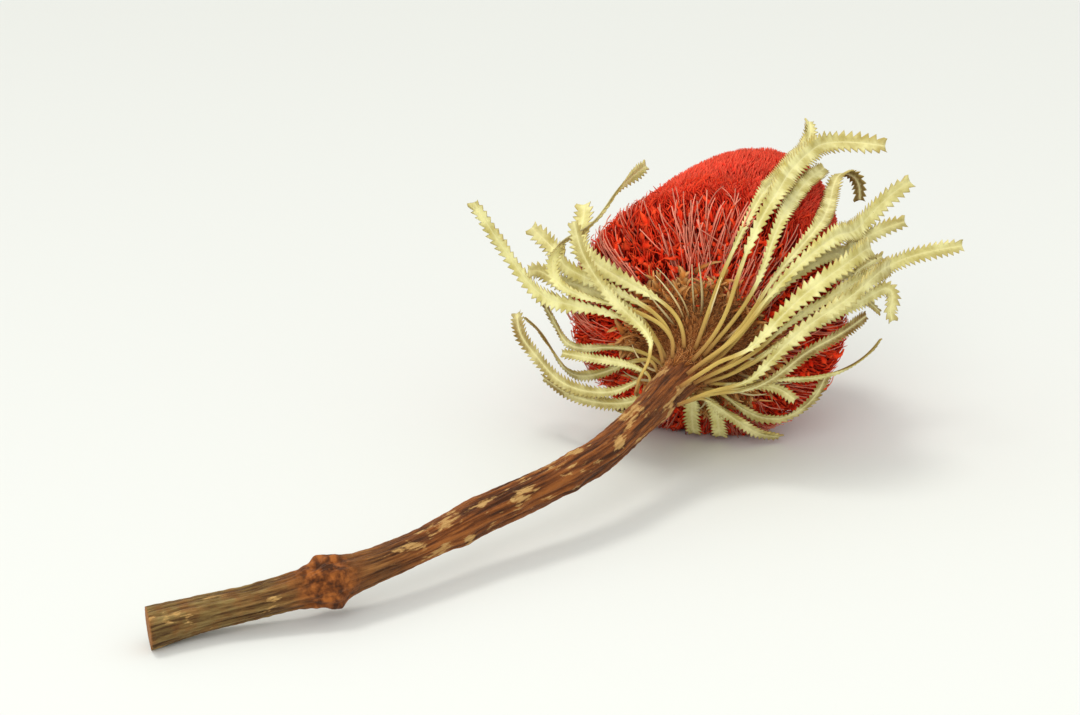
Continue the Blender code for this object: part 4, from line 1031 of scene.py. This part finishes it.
def makeStyles(draw):
    # Long stiff styles in loose clumps, from the base out over the rim
    shape = headShape["styles"]
    count, clumps, stations = shape["count"], shape["clumps"], shape["stations"]
    clump = draw.integers(0, clumps, count)
    middle = draw.uniform(0, math.tau, clumps)[clump]
    place = draw.normal(*shape["place"], clumps)[clump] + draw.normal(0, shape["clumpSpread"], count)
    place = np.clip(place, *shape["zone"])
    turn = middle + draw.normal(0, 0.06, count)
    length = draw.uniform(*shape["length"], count)
    aside = draw.normal(0, 0.34, clumps)[clump] + draw.normal(0, 0.15, count)
    height = draw.uniform(*shape["height"], count)
    flick, wiggle = draw.normal(0.0, 0.5, count), draw.normal(0, 0.25, count)
    paths, facing = creepStrands(place, turn, length, aside, height, flick, wiggle, stations)
    wide = draw.uniform(*shape["width"], count)[:, None] * np.linspace(1.15, 0.8, stations)
    strandPiece("head_styles", paths, wide, wide, facing, 4, strandMaterial("style"), draw)


# The stage

def makeFloor():
    reach = studio["floorReach"]
    corners = [(-reach, -reach, 0), (reach, -reach, 0), (reach, reach, 0), (-reach, reach, 0)]
    mesh = bpy.data.meshes.new("floor")
    mesh.from_pydata(corners, [], [(0, 1, 2, 3)])
    floor = bpy.data.objects.new("floor", mesh)
    bpy.context.scene.collection.objects.link(floor)
    material, _, shader = newMaterial("floorPaper", 0.7, 0.2)
    shader.inputs["Base Color"].default_value = paint(studio["floorTone"])
    mesh.materials.append(material)


def makeSky():
    # The sky's strength rises from the horizon to the zenith with the sine of the height
    world = bpy.data.worlds.new("softbox")
    world.use_nodes = True
    sky, background = world.node_tree, world.node_tree.nodes["Background"]
    place = sky.nodes.new("ShaderNodeTexCoord").outputs["Generated"]
    rise = linkNode(sky, "ShaderNodeSeparateXYZ", i0=place).outputs[2]
    rise = maths(sky, "MAXIMUM", rise, 0.0)
    strength = maths(sky, "MULTIPLY_ADD", rise, studio["skyRise"], studio["skyFoot"])
    background.inputs[0].default_value = paint(studio["skyTone"])
    sky.links.new(strength, background.inputs[1])
    bpy.context.scene.world = world


def makeLamps():
    sun = bpy.data.lights.new("sun", "SUN")
    sun.energy, sun.angle = studio["sunStrength"], math.radians(studio["sunSpread"])
    sun.color = paint(studio["sunTone"])[:3]
    fill = bpy.data.lights.new("fill", "AREA")
    fill.shape, fill.size, fill.energy = "DISK", studio["fillSize"], studio["fillPower"]
    for lamp, place in ((sun, studio["sunFrom"]), (fill, studio["fillPlace"])):
        holder = bpy.data.objects.new(lamp.name, lamp)
        holder.location = place
        aim = Vector(studio["lampAim"]) - Vector(place)
        holder.rotation_euler = aim.to_track_quat("-Z", "Y").to_euler()
        bpy.context.scene.collection.objects.link(holder)


def makeCamera():
    lens = bpy.data.cameras.new("camera")
    lens.lens = view["lens"]
    lens.clip_start, lens.clip_end = view["clip"]
    camera = bpy.data.objects.new("camera", lens)
    camera.location = view["place"]
    camera.rotation_euler = Vector(view["aim"]).to_track_quat("-Z", "Y").to_euler()
    bpy.context.scene.collection.objects.link(camera)
    bpy.context.scene.camera = camera
    bpy.context.scene.view_settings.view_transform = "Standard"


makeFloor()
makeSky()
makeLamps()
makeCamera()
print("stage ready")

leafMaterial = makeLeafMaterial()
for number, (leafName, (width, roll, route)) in enumerate(leafRoutes.items()):
    makeLeaf(leafName, width, roll, route, 100 + number, leafMaterial)
print("leaves ready")

makeStem()
makeBase()
print("stem and base ready")

# The heart: a dark sheet under the strands, painted as the shade deep inside the head
skinPiece("head_heart_shade", heart, headShape["heart"], strandMaterial("headHeartShade"), "flower_head",
          {"share": 0.0, "tone": 0.4})
headDraw = np.random.default_rng(81)
makeVelvet(headDraw)
makeOpenFlorets(headDraw)
makeFlakes(headDraw)
makeStyles(headDraw)
print("head ready")
